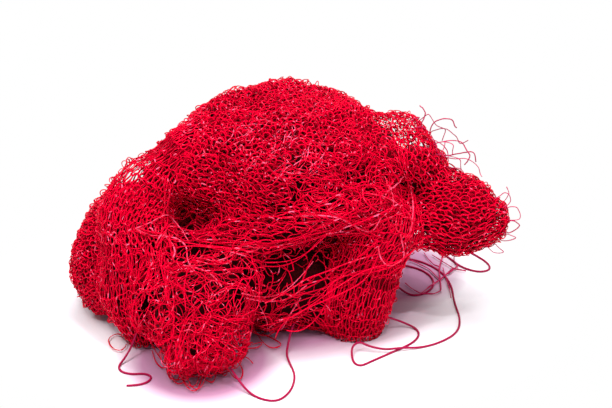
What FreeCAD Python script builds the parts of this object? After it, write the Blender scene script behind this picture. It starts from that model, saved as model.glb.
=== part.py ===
"""Pot scrubber: one length of knitted plastic net, crumpled by hand into a loose pad.

The pad is built fold by fold. Each fold of the net is a closed soft solid lofted through
rounded sections, and each strand that has pulled out of the knit is a thin bent tube.
Millimetres, +Z up, the origin on the table under the middle of the folds. -Y is the side
with the frayed bunch and the hanging leg, and +X the side with the free flap.
"""

import FreeCAD
import Part

import math
import os

# Driving dimensions
STRAND_DIAMETER = 0.6
ARCS_PER_SECTION = 8
SECTIONS_PER_STATION = 2
END_ANGLES = (35.0, 62.0, 84.0)
END_STRETCH = 0.55
TABLE_SIZE = 400.0

# Crumples of the net, as slanting waves: share, waves per mm along x, y and z, and start in radians
CRUMPLE_WAVES = (
    (0.36, (0.050, 0.012, -0.030), 0.4),
    (0.30, (-0.022, 0.046, 0.031), 2.1),
    (0.22, (0.031, -0.028, 0.052), 4.0),
    (0.12, (0.066, 0.040, 0.018), 1.2),
)

# How deep each fold's crumples are; the other folds have none.
CRUMPLE_DEPTHS = {
    "right_flap": 1.0,
    "crown_fold": 2.2,
    "hanging_leg_fold": 0.8,
    "left_front_fold": 1.5,
    "frayed_bunch": 3.0,
    "left_roll": 1.2,
    "right_shoulder": 1.8,
    "back_left_fold": 2.2,
    "back_right_fold": 2.2,
    "centre_fold": 2.0,
}

# Folds that run up and down; the others run mostly level.
UPRIGHT = ("hanging_leg_fold", "left_front_fold", "back_left_fold", "back_right_fold")

# The free flap flexes up and down about its root.
FLAP = "right_flap"
FLAP_PIVOT = (38.0, 1.5, 33.0)
FLAP_AXIS = (0.0, -1.0, 0.0)
FLAP_RANGE = (-15.0, 20.0)
FLAP_SWEEP_STEPS = 4
FLAP_CLEARANCE = 0.6

# A strand's arcs take this share of the shorter of their two runs.
ARC_SHARE = 0.45

# Every fold is a run of stations along its middle line: x, y, z, half width, half height.
# The width lies along Y on a level fold and along X on an upright one; the height is square to it.
FOLDS = {
    "right_flap": [
        (38, 1.5, 33, 7.5, 8.5),
        (43, 0.5, 31.4, 10.5, 10.9),
        (49, -0.5, 30.4, 10.5, 10.9),
        (53.5, -1.5, 30, 8.2, 8.8),
        (58, -2, 30, 3.4, 4.4),
    ],
    "crown_fold": [
        (-37, 7, 32, 8, 8),
        (-30, 10, 35.5, 15, 12.5),
        (-18, 11, 40.5, 22, 19),
        (-4, 11, 42, 26.5, 20),
        (9, 12, 41, 25, 19),
        (20, 12, 39, 20, 15.5),
        (28, 12, 38, 12, 10),
    ],
    "hanging_leg_fold": [
        (28, 0, 36, 6, 6.5),
        (26, -3.5, 31, 8.5, 8.5),
        (22, -6.5, 24, 9.5, 9.5),
        (19.5, -8, 17, 9.8, 9.8),
        (17.5, -8.5, 8, 9, 9),
        (17, -8.5, 1.5, 7.5, 7.5),
        (17, -8.5, -2, 6, 6),
    ],
    "left_front_fold": [
        (-22, 6, 51, 5, 5),
        (-30, 3, 50.5, 5.5, 6),
        (-38, -2, 43.5, 7.5, 7.5),
        (-42.5, -7, 36, 9, 9),
        (-42.5, -10, 28, 9.5, 10),
        (-43, -12.5, 16, 8.5, 9.5),
        (-41.5, -13.5, 6, 6.5, 7.5),
        (-39.5, -14, -2, 4.5, 5),
    ],
    "frayed_bunch": [
        (-21, -12.5, 26.5, 12.5, 6),
        (-23.5, -19.5, 21.5, 15.5, 9),
        (-24.5, -26.5, 15, 16, 12.5),
        (-23.5, -32.5, 9, 13, 10),
        (-22, -37.5, 4.5, 9, 6),
    ],
    "left_roll": [
        (-49, -7, 13, 6, 9),
        (-51.5, -1, 14, 8.5, 13),
        (-50.8, 9, 15, 9.5, 15.5),
        (-47.5, 20, 15, 11, 15.5),
        (-43, 28, 13, 8, 11.5),
    ],
    "right_shoulder": [
        (20, 13, 46, 9, 8),
        (26, 12, 45, 14, 10),
        (33, 9, 41.5, 14.5, 10.5),
        (37, 7, 37, 11.5, 8.2),
        (41, 5, 34.5, 6.5, 5.5),
    ],
    "back_left_fold": [
        (-21, 22, 40, 9, 8),
        (-24, 28, 30, 15, 11),
        (-26, 31, 15, 16, 12),
        (-25, 30, 3, 14, 11),
        (-25, 30, -2, 12, 9),
    ],
    "back_right_fold": [
        (9, 23, 40, 9, 8),
        (10, 29, 30, 14, 11),
        (12, 31, 15, 14, 12),
        (12, 30, 3, 12, 10),
        (12, 30, -2, 10, 8),
    ],
    "stretched_strand_band": [
        (-31, -13.5, 28.5, 2.5, 3),
        (-20, -15, 30, 3.5, 3.5),
        (-8, -15, 32, 4, 4),
        (4, -14.5, 35.5, 4, 4),
        (14, -13, 38.5, 4, 4),
        (26, -7.5, 39, 3, 3.5),
    ],
    "diagonal_strand_bundle": [
        (27, -15, 27, 1.5, 2.5),
        (16, -20.5, 22.5, 1.5, 3.2),
        (3, -25, 17, 1.5, 3.2),
        (-12, -29, 13, 1.5, 2.5),
    ],
    "centre_fold": [
        (-16, -8, 11, 8, 9),
        (-6, -7, 13, 11, 13),
        (6, -5, 13, 11, 13),
        (12, -3, 11, 8, 9),
    ],
    "inner_pack": [
        (-36, 6, 18, 8, 8),
        (-28, 8, 20, 16, 17),
        (-4, 9, 20, 20, 18),
        (16, 10, 20, 16, 17),
        (25, 10, 20, 8, 9),
    ],
}

# Pulled strands lie loose on the table; the first and last points are where the net holds them.
STRANDS = {
    "front_strand_loop": [
        (-16, -36.6, 4.2),
        (-13.2, -40.2, 1.6),
        (-10.4, -43.4, 0.3),
        (-7.2, -46.0, 0.3),
        (-3.8, -46.6, 0.3),
        (-1.2, -43.4, 0.3),
        (0.3, -38.4, 0.3),
        (0.6, -32.6, 0.3),
        (-0.8, -27.2, 0.3),
        (-1.8, -22.6, 0.6),
        (-1.2, -19.2, 2.2),
        (-0.6, -16.0, 3.8),
        (0.4, -12.8, 5.2),
    ],
    "right_strand_loop": [
        (24.8, -8.2, 4.4),
        (28.2, -7.6, 3.0),
        (31.4, -6.4, 1.0),
        (34.0, -8.0, 0.3),
        (34.4, -11.8, 0.3),
        (32.4, -15.8, 0.3),
        (28.8, -19.2, 0.3),
        (25.0, -22.4, 0.3),
        (20.8, -26.0, 0.3),
        (18.0, -28.6, 0.3),
        (16.2, -27.2, 0.3),
        (15.6, -23.8, 0.7),
        (15.8, -20.8, 2.0),
        (17.8, -19.6, 2.8),
        (20.2, -20.6, 1.9),
        (24.6, -21.2, 1.1),
        (29.0, -20.0, 1.1),
        (34.4, -18.6, 0.3),
        (40.0, -15.6, 0.3),
        (45.0, -10.0, 0.3),
        (46.4, -2.0, 0.3),
        (45.4, 8.0, 0.3),
        (45.6, 18.0, 0.3),
        (43.6, 27.0, 0.3),
        (38.6, 34.0, 0.3),
        (32.4, 36.6, 0.5),
        (26.6, 36.0, 1.6),
        (21.4, 33.6, 3.0),
    ],
    "back_strand_loop": [
        (15.5, 38.6, 3.2),
        (20.5, 42.6, 2.0),
        (27.0, 45.4, 0.9),
        (34.0, 46.4, 0.3),
        (41.4, 43.8, 0.3),
        (46.0, 37.6, 0.3),
        (49.0, 30.8, 0.3),
        (53.8, 27.2, 0.3),
        (57.6, 28.4, 0.3),
        (57.8, 32.6, 0.3),
        (54.6, 38.4, 0.3),
        (49.4, 45.0, 0.3),
        (41.6, 49.4, 0.3),
        (32.6, 50.0, 0.3),
        (24.0, 48.4, 0.5),
        (16.8, 45.8, 1.4),
        (11.6, 41.0, 2.6),
        (9.6, 36.6, 3.4),
    ],
    "under_flap_strand": [
        (20.5, 24.6, 6.5),
        (25.4, 20.4, 4.0),
        (29.6, 15.8, 1.4),
        (33.2, 12.0, 0.3),
        (37.0, 12.8, 0.3),
        (40.2, 17.2, 0.3),
        (40.6, 23.4, 0.3),
        (37.2, 29.4, 0.3),
        (31.8, 32.0, 0.4),
        (27.2, 31.8, 1.6),
        (22.8, 30.6, 3.2),
    ],
    "left_strand_loop": [
        (-41.0, -19.8, 7.4),
        (-42.2, -23.0, 4.4),
        (-44.4, -26.0, 1.2),
        (-46.0, -28.6, 0.3),
        (-45.0, -31.6, 0.3),
        (-42.0, -33.0, 0.3),
        (-38.8, -32.4, 0.3),
        (-36.6, -34.0, 0.3),
        (-37.2, -36.8, 0.3),
        (-39.8, -38.6, 0.3),
        (-42.8, -38.8, 0.3),
    ],
}


def vector(point):
    return FreeCAD.Vector(*point[:3])


def end_cap(end, inner, extra):
    """Extra stations that round off the end of a fold, from the end station outwards."""
    outward = (vector(end) - vector(inner)).normalize()
    reach = END_STRETCH * min(end[3:5]) + extra
    caps = []
    for angle in END_ANGLES:
        turn = math.radians(angle)
        place = vector(end) + outward * (reach * math.sin(turn))
        caps.append((place.x, place.y, place.z, end[3] * math.cos(turn), end[4] * math.cos(turn)))
    return caps


def with_round_ends(stations, extra):
    first = end_cap(stations[0], stations[1], extra)
    last = end_cap(stations[-1], stations[-2], extra)
    return first[::-1] + stations + last


def smooth_between(a, b, c, d, share):
    """Values part of the way from b to c on a smooth run through all four stations."""
    return tuple(
        0.5 * (2 * q + (r - p) * share + (2 * p - 5 * q + 4 * r - s) * share**2 + (3 * q - p - 3 * r + s) * share**3)
        for p, q, r, s in zip(a, b, c, d)
    )


def with_sections_between(stations):
    sections = []
    last = len(stations) - 1
    for i in range(last):
        around = [stations[min(max(j, 0), last)] for j in (i - 1, i, i + 1, i + 2)]
        sections += [smooth_between(*around, j / SECTIONS_PER_STATION) for j in range(SECTIONS_PER_STATION)]
    return sections + [stations[last]]


def crumple(point):
    """How far the net is crumpled out or in at a place, from -1 to 1."""
    waves = 0.0
    for share, (x, y, z), start in CRUMPLE_WAVES:
        waves += share * math.sin(2 * math.pi * (x * point.x + y * point.y + z * point.z) + start)
    return waves


def section_axes(name, sections, index):
    """Across and up axes of one section, square to the fold's middle line."""
    before = vector(sections[max(index - 1, 0)])
    after = vector(sections[min(index + 1, len(sections) - 1)])
    along = (after - before).normalize()
    level = FreeCAD.Vector(0, 1, 0) if name in UPRIGHT else FreeCAD.Vector(0, 0, 1)
    across = level.cross(along).normalize()
    return across, along.cross(across).normalize()


def section_wire(name, sections, index, extra):
    """A closed crumpled section of arcs, each well under a half circle."""
    centre = vector(sections[index])
    across, up = section_axes(name, sections, index)
    half_width, half_height = sections[index][3:5]
    depth = min(CRUMPLE_DEPTHS.get(name, 0.0), 0.25 * min(half_width, half_height))
    points = []
    for step in range(2 * ARCS_PER_SECTION):
        angle = math.pi * step / ARCS_PER_SECTION
        outward = across * (half_width * math.cos(angle)) + up * (half_height * math.sin(angle))
        rim = centre + outward
        points.append(rim + outward.normalize() * (extra + depth * crumple(rim)))
    points.append(points[0])
    arcs = [Part.Arc(*points[i:i + 3]).toShape() for i in range(0, 2 * ARCS_PER_SECTION, 2)]
    return Part.Wire(arcs)


def loft_fold(name, extra=0.0):
    """A fold's whole solid, larger all round by the extra."""
    sections = with_round_ends(FOLDS[name], extra)
    if name in CRUMPLE_DEPTHS:
        sections = with_sections_between(sections)
    return Part.makeLoft([section_wire(name, sections, i, extra) for i in range(len(sections))], True, False)


def largest_solid(shape):
    return max(shape.Solids, key=lambda solid: solid.Volume)


def flap_sweep():
    """The space that the flap needs over its whole travel, as the flap at a row of angles."""
    lowest, highest = FLAP_RANGE
    swept = []
    for i in range(FLAP_SWEEP_STEPS + 1):
        turned = loft_fold(FLAP, FLAP_CLEARANCE)
        angle = lowest + (highest - lowest) * i / FLAP_SWEEP_STEPS
        turned.rotate(vector(FLAP_PIVOT), vector(FLAP_AXIS), angle)
        swept.append(turned)
    return swept


def cut_clear(fold, others):
    for other in others:
        if fold.BoundBox.intersect(other.BoundBox):
            fold = fold.cut(other)
    return fold


def build_folds():
    """All folds on the table, each cut back by the flap's travel and by the folds made before it."""
    half = TABLE_SIZE / 2
    above_table = Part.makeBox(TABLE_SIZE, TABLE_SIZE, TABLE_SIZE, FreeCAD.Vector(-half, -half, 0))
    sweep = flap_sweep()
    made = {FLAP: loft_fold(FLAP)}
    for name in FOLDS:
        if name == FLAP:
            continue
        fold = loft_fold(name).common(above_table)
        fold = cut_clear(fold, sweep)
        fold = cut_clear(fold, [shape for other, shape in made.items() if other != FLAP])
        made[name] = largest_solid(fold)
    return made


def strand_path(points):
    """Straight runs joined by tangent arcs. Returns the wire, its length and its smallest radius."""
    corners = [vector(p) for p in points]
    edges = []
    radii = []
    start = corners[0]
    for before, corner, after in zip(corners, corners[1:], corners[2:]):
        back = before - corner
        ahead = after - corner
        reach = ARC_SHARE * min(back.Length, ahead.Length)
        back.normalize()
        ahead.normalize()
        half_turn = (math.pi - back.getAngle(ahead)) / 2
        radius = reach / math.tan(half_turn)
        radii.append(radius)
        middle_way = (back + ahead).normalize()
        centre = corner + middle_way * math.hypot(radius, reach)
        arc_start = corner + back * reach
        arc_end = corner + ahead * reach
        edges.append(Part.LineSegment(start, arc_start).toShape())
        edges.append(Part.Arc(arc_start, centre - middle_way * radius, arc_end).toShape())
        start = arc_end
    edges.append(Part.LineSegment(start, corners[-1]).toShape())
    wire = Part.Wire(edges)
    return wire, wire.Length, min(radii)


def build_strand(name, folds):
    """A round tube along the strand's path, cut off where the folds hold it."""
    path, length, radius = strand_path(STRANDS[name])
    start = vector(STRANDS[name][0])
    heading = vector(STRANDS[name][1]) - start
    ring = Part.Wire(Part.makeCircle(STRAND_DIAMETER / 2, start, heading))
    tube = path.makePipeShell([ring], True, False)
    expected = math.pi * STRAND_DIAMETER**2 / 4 * length
    ends = [Part.Vertex(vector(STRANDS[name][i])) for i in (0, -1)]
    gaps = [min(fold.distToShape(end)[0] for fold in folds) for end in ends]
    print(
        f"{name}: length {length:.1f} mm, smallest radius {radius:.2f} mm, "
        f"volume {tube.Volume / expected:.3f} of section times length, "
        f"ends {gaps[0]:.2f} and {gaps[1]:.2f} mm from the folds"
    )
    return largest_solid(cut_clear(tube, folds))


def main():
    os.makedirs("parts", exist_ok=True)
    parts = build_folds()
    folds = list(parts.values())
    for name in STRANDS:
        parts[name] = build_strand(name, folds)
    for name, shape in parts.items():
        shape.exportStep(f"parts/{name}.step")
        print(f"{name}: volume {shape.Volume:.0f} mm3, valid {shape.isValid()}")


main()
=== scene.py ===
import math

import bpy
import numpy as np
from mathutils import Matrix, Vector, noise
from mathutils.bvhtree import BVHTree
from mathutils.kdtree import KDTree


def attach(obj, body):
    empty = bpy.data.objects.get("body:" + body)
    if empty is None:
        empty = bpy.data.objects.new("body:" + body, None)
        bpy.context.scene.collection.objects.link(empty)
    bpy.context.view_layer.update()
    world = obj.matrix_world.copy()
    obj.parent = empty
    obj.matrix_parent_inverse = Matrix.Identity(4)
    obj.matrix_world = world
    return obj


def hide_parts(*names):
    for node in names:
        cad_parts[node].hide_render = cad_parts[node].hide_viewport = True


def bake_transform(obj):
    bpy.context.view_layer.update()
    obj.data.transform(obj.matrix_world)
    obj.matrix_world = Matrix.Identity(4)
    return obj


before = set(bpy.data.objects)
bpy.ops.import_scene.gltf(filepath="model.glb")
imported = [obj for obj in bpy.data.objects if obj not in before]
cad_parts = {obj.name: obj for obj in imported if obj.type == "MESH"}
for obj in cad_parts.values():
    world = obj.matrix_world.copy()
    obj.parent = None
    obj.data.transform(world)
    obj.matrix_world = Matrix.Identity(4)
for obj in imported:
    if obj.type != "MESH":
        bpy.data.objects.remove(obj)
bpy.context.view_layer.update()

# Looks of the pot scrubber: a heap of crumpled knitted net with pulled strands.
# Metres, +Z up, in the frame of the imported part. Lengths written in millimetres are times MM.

MM = 0.001

# The photograph's view: lens and sensor in millimetres, image in pixels
IMAGE_WIDE = 612
IMAGE_HIGH = 408
LENS = 100.0
SENSOR = 36.0
ELEVATION = math.radians(24.0)
DISTANCE = 0.460
CLIP_START = 0.01
TARGET = np.array([3.5, 0.0, 34.3]) * MM

# Tape that the net is knitted from
TAPE_WIDE = 0.38 * MM
TAPE_THICK = 0.24 * MM
KNIT_WIDE = 0.44 * MM
STRAND_DIAMETER = 0.6 * MM
FLOOR_GAP = 0.3 * MM

# Folds as runs of stations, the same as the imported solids: x, y, z, half width, half height in mm
END_ANGLES = (35.0, 62.0, 84.0)
END_STRETCH = 0.55
FLAP = "right_flap"
FOLDS = {
    "right_flap": [
        (38, 1.5, 33, 7.5, 8.5),
        (43, 0.5, 31.4, 10.5, 10.9),
        (49, -0.5, 30.4, 10.5, 10.9),
        (53.5, -1.5, 30, 8.2, 8.8),
        (58, -2, 30, 3.4, 4.4),
    ],
    "crown_fold": [
        (-37, 7, 32, 8, 8),
        (-30, 10, 35.5, 15, 12.5),
        (-18, 11, 40.5, 22, 19),
        (-4, 11, 42, 26.5, 20),
        (9, 12, 41, 25, 19),
        (20, 12, 39, 20, 15.5),
        (28, 12, 38, 12, 10),
    ],
    "hanging_leg_fold": [
        (28, 0, 36, 6, 6.5),
        (26, -3.5, 31, 8.5, 8.5),
        (22, -6.5, 24, 9.5, 9.5),
        (19.5, -8, 17, 9.8, 9.8),
        (17.5, -8.5, 8, 9, 9),
        (17, -8.5, 1.5, 7.5, 7.5),
        (17, -8.5, -2, 6, 6),
    ],
    "left_front_fold": [
        (-22, 6, 51, 5, 5),
        (-30, 3, 50.5, 5.5, 6),
        (-38, -2, 43.5, 7.5, 7.5),
        (-42.5, -7, 36, 9, 9),
        (-42.5, -10, 28, 9.5, 10),
        (-43, -12.5, 16, 8.5, 9.5),
        (-41.5, -13.5, 6, 6.5, 7.5),
        (-39.5, -14, -2, 4.5, 5),
    ],
    "frayed_bunch": [
        (-21, -12.5, 26.5, 12.5, 6),
        (-23.5, -19.5, 21.5, 15.5, 9),
        (-24.5, -26.5, 15, 16, 12.5),
        (-23.5, -32.5, 9, 13, 10),
        (-22, -37.5, 4.5, 9, 6),
    ],
    "left_roll": [
        (-49, -7, 13, 6, 9),
        (-51.5, -1, 14, 8.5, 13),
        (-50.8, 9, 15, 9.5, 15.5),
        (-47.5, 20, 15, 11, 15.5),
        (-43, 28, 13, 8, 11.5),
    ],
    "right_shoulder": [
        (20, 13, 46, 9, 8),
        (26, 12, 45, 14, 10),
        (33, 9, 41.5, 14.5, 10.5),
        (37, 7, 37, 11.5, 8.2),
        (41, 5, 34.5, 6.5, 5.5),
    ],
    "back_left_fold": [
        (-21, 22, 40, 9, 8),
        (-24, 28, 30, 15, 11),
        (-26, 31, 15, 16, 12),
        (-25, 30, 3, 14, 11),
        (-25, 30, -2, 12, 9),
    ],
    "back_right_fold": [
        (9, 23, 40, 9, 8),
        (10, 29, 30, 14, 11),
        (12, 31, 15, 14, 12),
        (12, 30, 3, 12, 10),
        (12, 30, -2, 10, 8),
    ],
    "stretched_strand_band": [
        (-31, -13.5, 28.5, 2.5, 3),
        (-20, -15, 30, 3.5, 3.5),
        (-8, -15, 32, 4, 4),
        (4, -14.5, 35.5, 4, 4),
        (14, -13, 38.5, 4, 4),
        (26, -7.5, 39, 3, 3.5),
    ],
    "centre_fold": [
        (-16, -8, 11, 8, 9),
        (-6, -7, 13, 11, 13),
        (6, -5, 13, 11, 13),
        (12, -3, 11, 8, 9),
    ],
    "inner_pack": [
        (-36, 6, 18, 8, 8),
        (-28, 8, 20, 16, 17),
        (-4, 9, 20, 20, 18),
        (16, 10, 20, 16, 17),
        (25, 10, 20, 8, 9),
    ],
}

# Net packed at the flap's root, which only shows through the gaps, near black as painted shade
CORE_ONLY = {"flap_root": [(29, 3, 34.5, 6, 8), (36, 2, 32.5, 7.5, 9), (44, 1, 31.4, 9, 9.8)]}

UPRIGHT = ("hanging_leg_fold", "left_front_fold", "back_left_fold", "back_right_fold")

# Crumples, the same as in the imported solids: share, waves per mm along x, y and z, start in radians
CRUMPLE_WAVES = (
    (0.36, (0.050, 0.012, -0.030), 0.4),
    (0.30, (-0.022, 0.046, 0.031), 2.1),
    (0.22, (0.031, -0.028, 0.052), 4.0),
    (0.12, (0.066, 0.040, 0.018), 1.2),
)
CRUMPLE_DEPTHS = {
    "right_flap": 1.0,
    "crown_fold": 2.2,
    "hanging_leg_fold": 0.8,
    "left_front_fold": 1.5,
    "frayed_bunch": 3.0,
    "left_roll": 1.2,
    "right_shoulder": 1.8,
    "back_left_fold": 2.2,
    "back_right_fold": 2.2,
    "centre_fold": 2.0,
}

# Knitted folds: stitch width and course height in mm, how far the courses wander in stitches
KNIT = {
    "hanging_leg_fold": (1.9, 2.0, 0.25),
    "left_front_fold": (2.1, 1.6, 0.7),
    "back_left_fold": (2.0, 2.1, 0.5),
    "back_right_fold": (2.0, 2.1, 0.5),
}

# Folds of pulled net: width of a cell in mm, how many times as long it is, how far the cells stand off
# the fold in mm, the tape's width in mm, and the way that the net is pulled
PULLED_NET = {
    "crown_fold": (0.95, 1.3, 0.28, 0.38, (1, 0, -0.2)),
    "right_shoulder": (1.0, 1.7, 0.25, 0.38, (0.5, -0.3, -1)),
    "right_flap": (0.9, 1.8, 0.2, 0.42, (1, 0, -0.1)),
    "left_roll": (0.95, 1.2, 0.15, 0.40, (0, 1, 0)),
    "frayed_bunch": (1.5, 1.6, 0.6, 0.36, (0.2, -0.5, -1)),
    "stretched_strand_band": (1.2, 2.6, 0.4, 0.36, (1, 0, 0.1)),
    "centre_fold": (2.6, 1.5, 0.4, 0.36, (0.3, 0, -1)),
    "inner_pack": (1.6, 1.5, 0.2, 0.40, (1, 0, 0)),
}

# Small shifts of the heap's surface: centre, reach and shift in mm
NUDGES = [
    ((-37, 14, 46), 7, (0.8, -0.2, -0.8)),
    ((-37, 0, 51), 7, (1.2, 0.6, -1.5)),
    ((-31, 14, 52), 7, (1.2, -0.6, -1.5)),
    ((-25, 17, 58), 6, (1.1, -0.6, -1.8)),
    ((-16, 13, 61), 5, (0, 0.2, 1.4)),
    ((3, 21, 61), 6, (0, 0.4, 0.9)),
    ((-60, 5, 15), 14, (-1.1, 0, 0)),
    ((-52, -6, 38), 7, (1.3, 0.1, -0.9)),
    ((43, 12, 47), 7, (-3.4, 0, -3.0)),
    ((44, 4, 42), 5, (0.6, 0, 1.6)),
    ((50, 1, 43), 5, (-0.2, 0, -1.2)),
    ((59, -2, 31), 5, (1.4, 0, 0)),
    ((52, -5, 21), 6, (-0.6, 0.2, 1.0)),
    ((29.5, -4, 39), 5, (0, 5.5, -1.5)),
    ((-27, -8, 39.6), 6, (0, -3.5, 0.5)),
]

# Places where the net is pulled open and shows the dark inside, partly painted shade on the cores: centre
# and reach in mm
OPENED = [((6, -12, 43), 11), ((2, -17, 18), 15), ((29, -1, 39), 6), ((-20, -32, 20), 9),
          ((-29, -12, 33), 7), ((4, -14, 50), 8), ((18, -10, 44), 8), ((22, -8, 38), 8)]

# Opened net: full up to one reach short of this many reaches, where it ends; size of its torn clumps
OPEN_REACHES = 1.4
CLUMP = 3.2 * MM

# Ridges that are little more than a single layer of net, with nothing packed behind them: over this
# height, and from x to x, in mm. Shares that are left out there: of the outer net where it faces away
# from the view, and of the knit's inner layer where it faces the view; the other inner net is left out
THIN_RIDGES = {"left_front_fold": (38.0, -90.0, -40.0), "right_shoulder": (47.0, 22.0, 90.0)}
RIDGE_OPEN = 0.85
RIDGE_WORN = 0.3

# Pulled strands: length in mm, where the far end goes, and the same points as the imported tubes, in mm
STRANDS = {
    "front_strand_loop": (53.2, "object", [
        (-16, -36.6, 4.2), (-13.2, -40.2, 1.6), (-10.4, -43.4, 0.3), (-7.2, -46.0, 0.3),
        (-3.8, -46.6, 0.3), (-1.2, -43.4, 0.3), (0.3, -38.4, 0.3), (0.6, -32.6, 0.3),
        (-0.8, -27.2, 0.3), (-1.8, -22.6, 0.6), (-1.2, -19.2, 2.2), (-0.6, -16.0, 3.8),
        (0.4, -12.8, 5.2),
    ]),
    "right_strand_loop": (143.5, "object", [
        (24.8, -8.2, 4.4), (28.2, -7.6, 3.0), (31.4, -6.4, 1.0), (34.0, -8.0, 0.3),
        (34.4, -11.8, 0.3), (32.4, -15.8, 0.3), (28.8, -19.2, 0.3), (25.0, -22.4, 0.3),
        (20.8, -26.0, 0.3), (18.0, -28.6, 0.3), (16.2, -27.2, 0.3), (15.6, -23.8, 0.7),
        (15.8, -20.8, 2.0), (17.8, -19.6, 2.8), (20.2, -20.6, 1.9), (24.6, -21.2, 1.1),
        (29.0, -20.0, 1.1), (34.4, -18.6, 0.3), (40.0, -15.6, 0.3), (45.0, -10.0, 0.3),
        (46.4, -2.0, 0.3), (45.4, 8.0, 0.3), (45.6, 18.0, 0.3), (43.6, 27.0, 0.3),
        (38.6, 34.0, 0.3), (32.4, 36.6, 0.5), (26.6, 36.0, 1.6), (21.4, 33.6, 3.0),
    ]),
    "back_strand_loop": (117.7, "object", [
        (15.5, 38.6, 3.2), (20.5, 42.6, 2.0), (27.0, 45.4, 0.9), (34.0, 46.4, 0.3),
        (41.4, 43.8, 0.3), (46.0, 37.6, 0.3), (49.0, 30.8, 0.3), (53.8, 27.2, 0.3),
        (57.6, 28.4, 0.3), (57.8, 32.6, 0.3), (54.6, 38.4, 0.3), (49.4, 45.0, 0.3),
        (41.6, 49.4, 0.3), (32.6, 50.0, 0.3), (24.0, 48.4, 0.5), (16.8, 45.8, 1.4),
        (11.6, 41.0, 2.6), (9.6, 36.6, 3.4),
    ]),
    "under_flap_strand": (56.0, "object", [
        (20.5, 24.6, 6.5), (25.4, 20.4, 4.0), (29.6, 15.8, 1.4), (33.2, 12.0, 0.3),
        (37.0, 12.8, 0.3), (40.2, 17.2, 0.3), (40.6, 23.4, 0.3), (37.2, 29.4, 0.3),
        (31.8, 32.0, 0.4), (27.2, 31.8, 1.6), (22.8, 30.6, 3.2),
    ]),
    "left_strand_loop": (33.0, "bare", [
        (-41.0, -19.8, 7.4), (-42.2, -23.0, 4.4), (-44.4, -26.0, 1.2), (-46.0, -28.6, 0.3),
        (-45.0, -31.6, 0.3), (-42.0, -33.0, 0.3), (-38.8, -32.4, 0.3), (-36.6, -34.0, 0.3),
        (-37.2, -36.8, 0.3), (-39.8, -38.6, 0.3), (-42.8, -38.8, 0.3),
    ]),
}

# Strands pulled across the heap: number, route in mm, how far they stray from it in mm, and the solid
# that they stand for
ACROSS = {
    "valley_strands": (10, [(-34, -12, 28), (-20, -17, 29), (-2, -18, 32), (14, -16, 36), (30, -8, 37)],
                       (2.5, 0.8, 3.2), None),
    "diagonal_strands": (9, [(29, -12, 29), (16, -20, 22), (3, -25, 17), (-12, -29, 13)],
                         (3.0, 1.0, 3.2), "diagonal_strand_bundle"),
}

# Loose strands that crawl over the heap, from starts in a box of the photograph's pixels: box, number,
# length in mm, bend, heading, spread of headings, lift in mm, width as a share of the tape's, and tone
TANGLES = {
    "bunch_drape": ((146, 240, 262, 300), 64, 24, 0.12, (-0.25, -0.4, -1), 0.35, 2.0, 0.8, 0.42),
    "bunch_weft": ((146, 250, 262, 330), 36, 16, 0.16, (1, -0.2, 0.2), 0.5, 1.4, 0.75, 0.40),
    "bunch_tangle": ((160, 318, 262, 388), 130, 16, 0.17, (0.3, -0.2, -0.3), 1.0, 1.4, 0.8, 0.40),
    "band_strands": ((100, 165, 168, 340), 110, 9, 0.07, (0, -0.2, -1), 0.25, 0.7, 0.9, 0.45),
    "recess_foot": ((255, 318, 335, 338), 40, 9, 0.12, (0.6, -0.3, -0.3), 0.8, 0.6, 0.9, 0.35),
    "recess_strands": ((255, 240, 335, 335), 16, 16, 0.10, (-0.8, -0.3, -0.6), 0.6, 1.2, 0.85, 0.4),
    "junction_tangle": ((300, 185, 405, 262), 48, 15, 0.18, (0.8, 0, -0.2), 0.7, 1.2, 0.85, 0.4),
    "leg_wraps": ((325, 240, 402, 282), 14, 16, 0.06, (1, 0, 0.1), 0.25, 0.8, 0.85, 0.45),
    "crown_strands": ((175, 90, 400, 238), 420, 8, 0.14, (1, 0, -0.3), 0.7, 0.5, 0.75, 0.42),
    "crown_right_tangle": ((285, 135, 382, 225), 90, 12, 0.13, (1, 0, -0.5), 0.5, 0.9, 0.75, 0.42),
    # The crown's hairs get a near pale tone, which paints highlights on thin filaments
    "crown_hairs": ((222, 105, 330, 180), 70, 4, 0.08, (0.8, 0.3, 0.6), 0.4, 0.5, 0.4, 0.9),
    "shoulder_fan": ((372, 125, 420, 215), 46, 12, 0.07, (0.4, -0.3, -0.8), 0.3, 0.7, 0.8, 0.4),
}

# Ropes of several strands along pixels of the photograph: number of strands, radius in mm, pixels
ROPES = [
    (5, 0.6, [(158, 252), (166, 272), (171, 292), (170, 312), (164, 330)]),
    (6, 0.8, [(190, 268), (206, 262), (222, 262), (240, 252), (262, 243)]),
    (4, 0.5, [(135, 229), (150, 236), (163, 237), (172, 246), (176, 258)]),
    (5, 0.6, [(164, 176), (167, 192), (165, 210), (162, 230), (157, 250)]),
    (4, 0.6, [(206, 306), (222, 294), (240, 288), (254, 294)]),
    (4, 0.6, [(205, 338), (222, 346), (240, 350), (252, 346)]),
    (4, 0.6, [(178, 366), (182, 342), (190, 318), (200, 300)]),
    (4, 0.5, [(186, 322), (206, 318), (226, 322), (246, 316)]),
    (3, 0.5, [(300, 216), (324, 216), (346, 220), (366, 232), (384, 236)]),
    (3, 0.5, [(396, 140), (404, 165), (410, 190), (411, 222)]),
]

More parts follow.
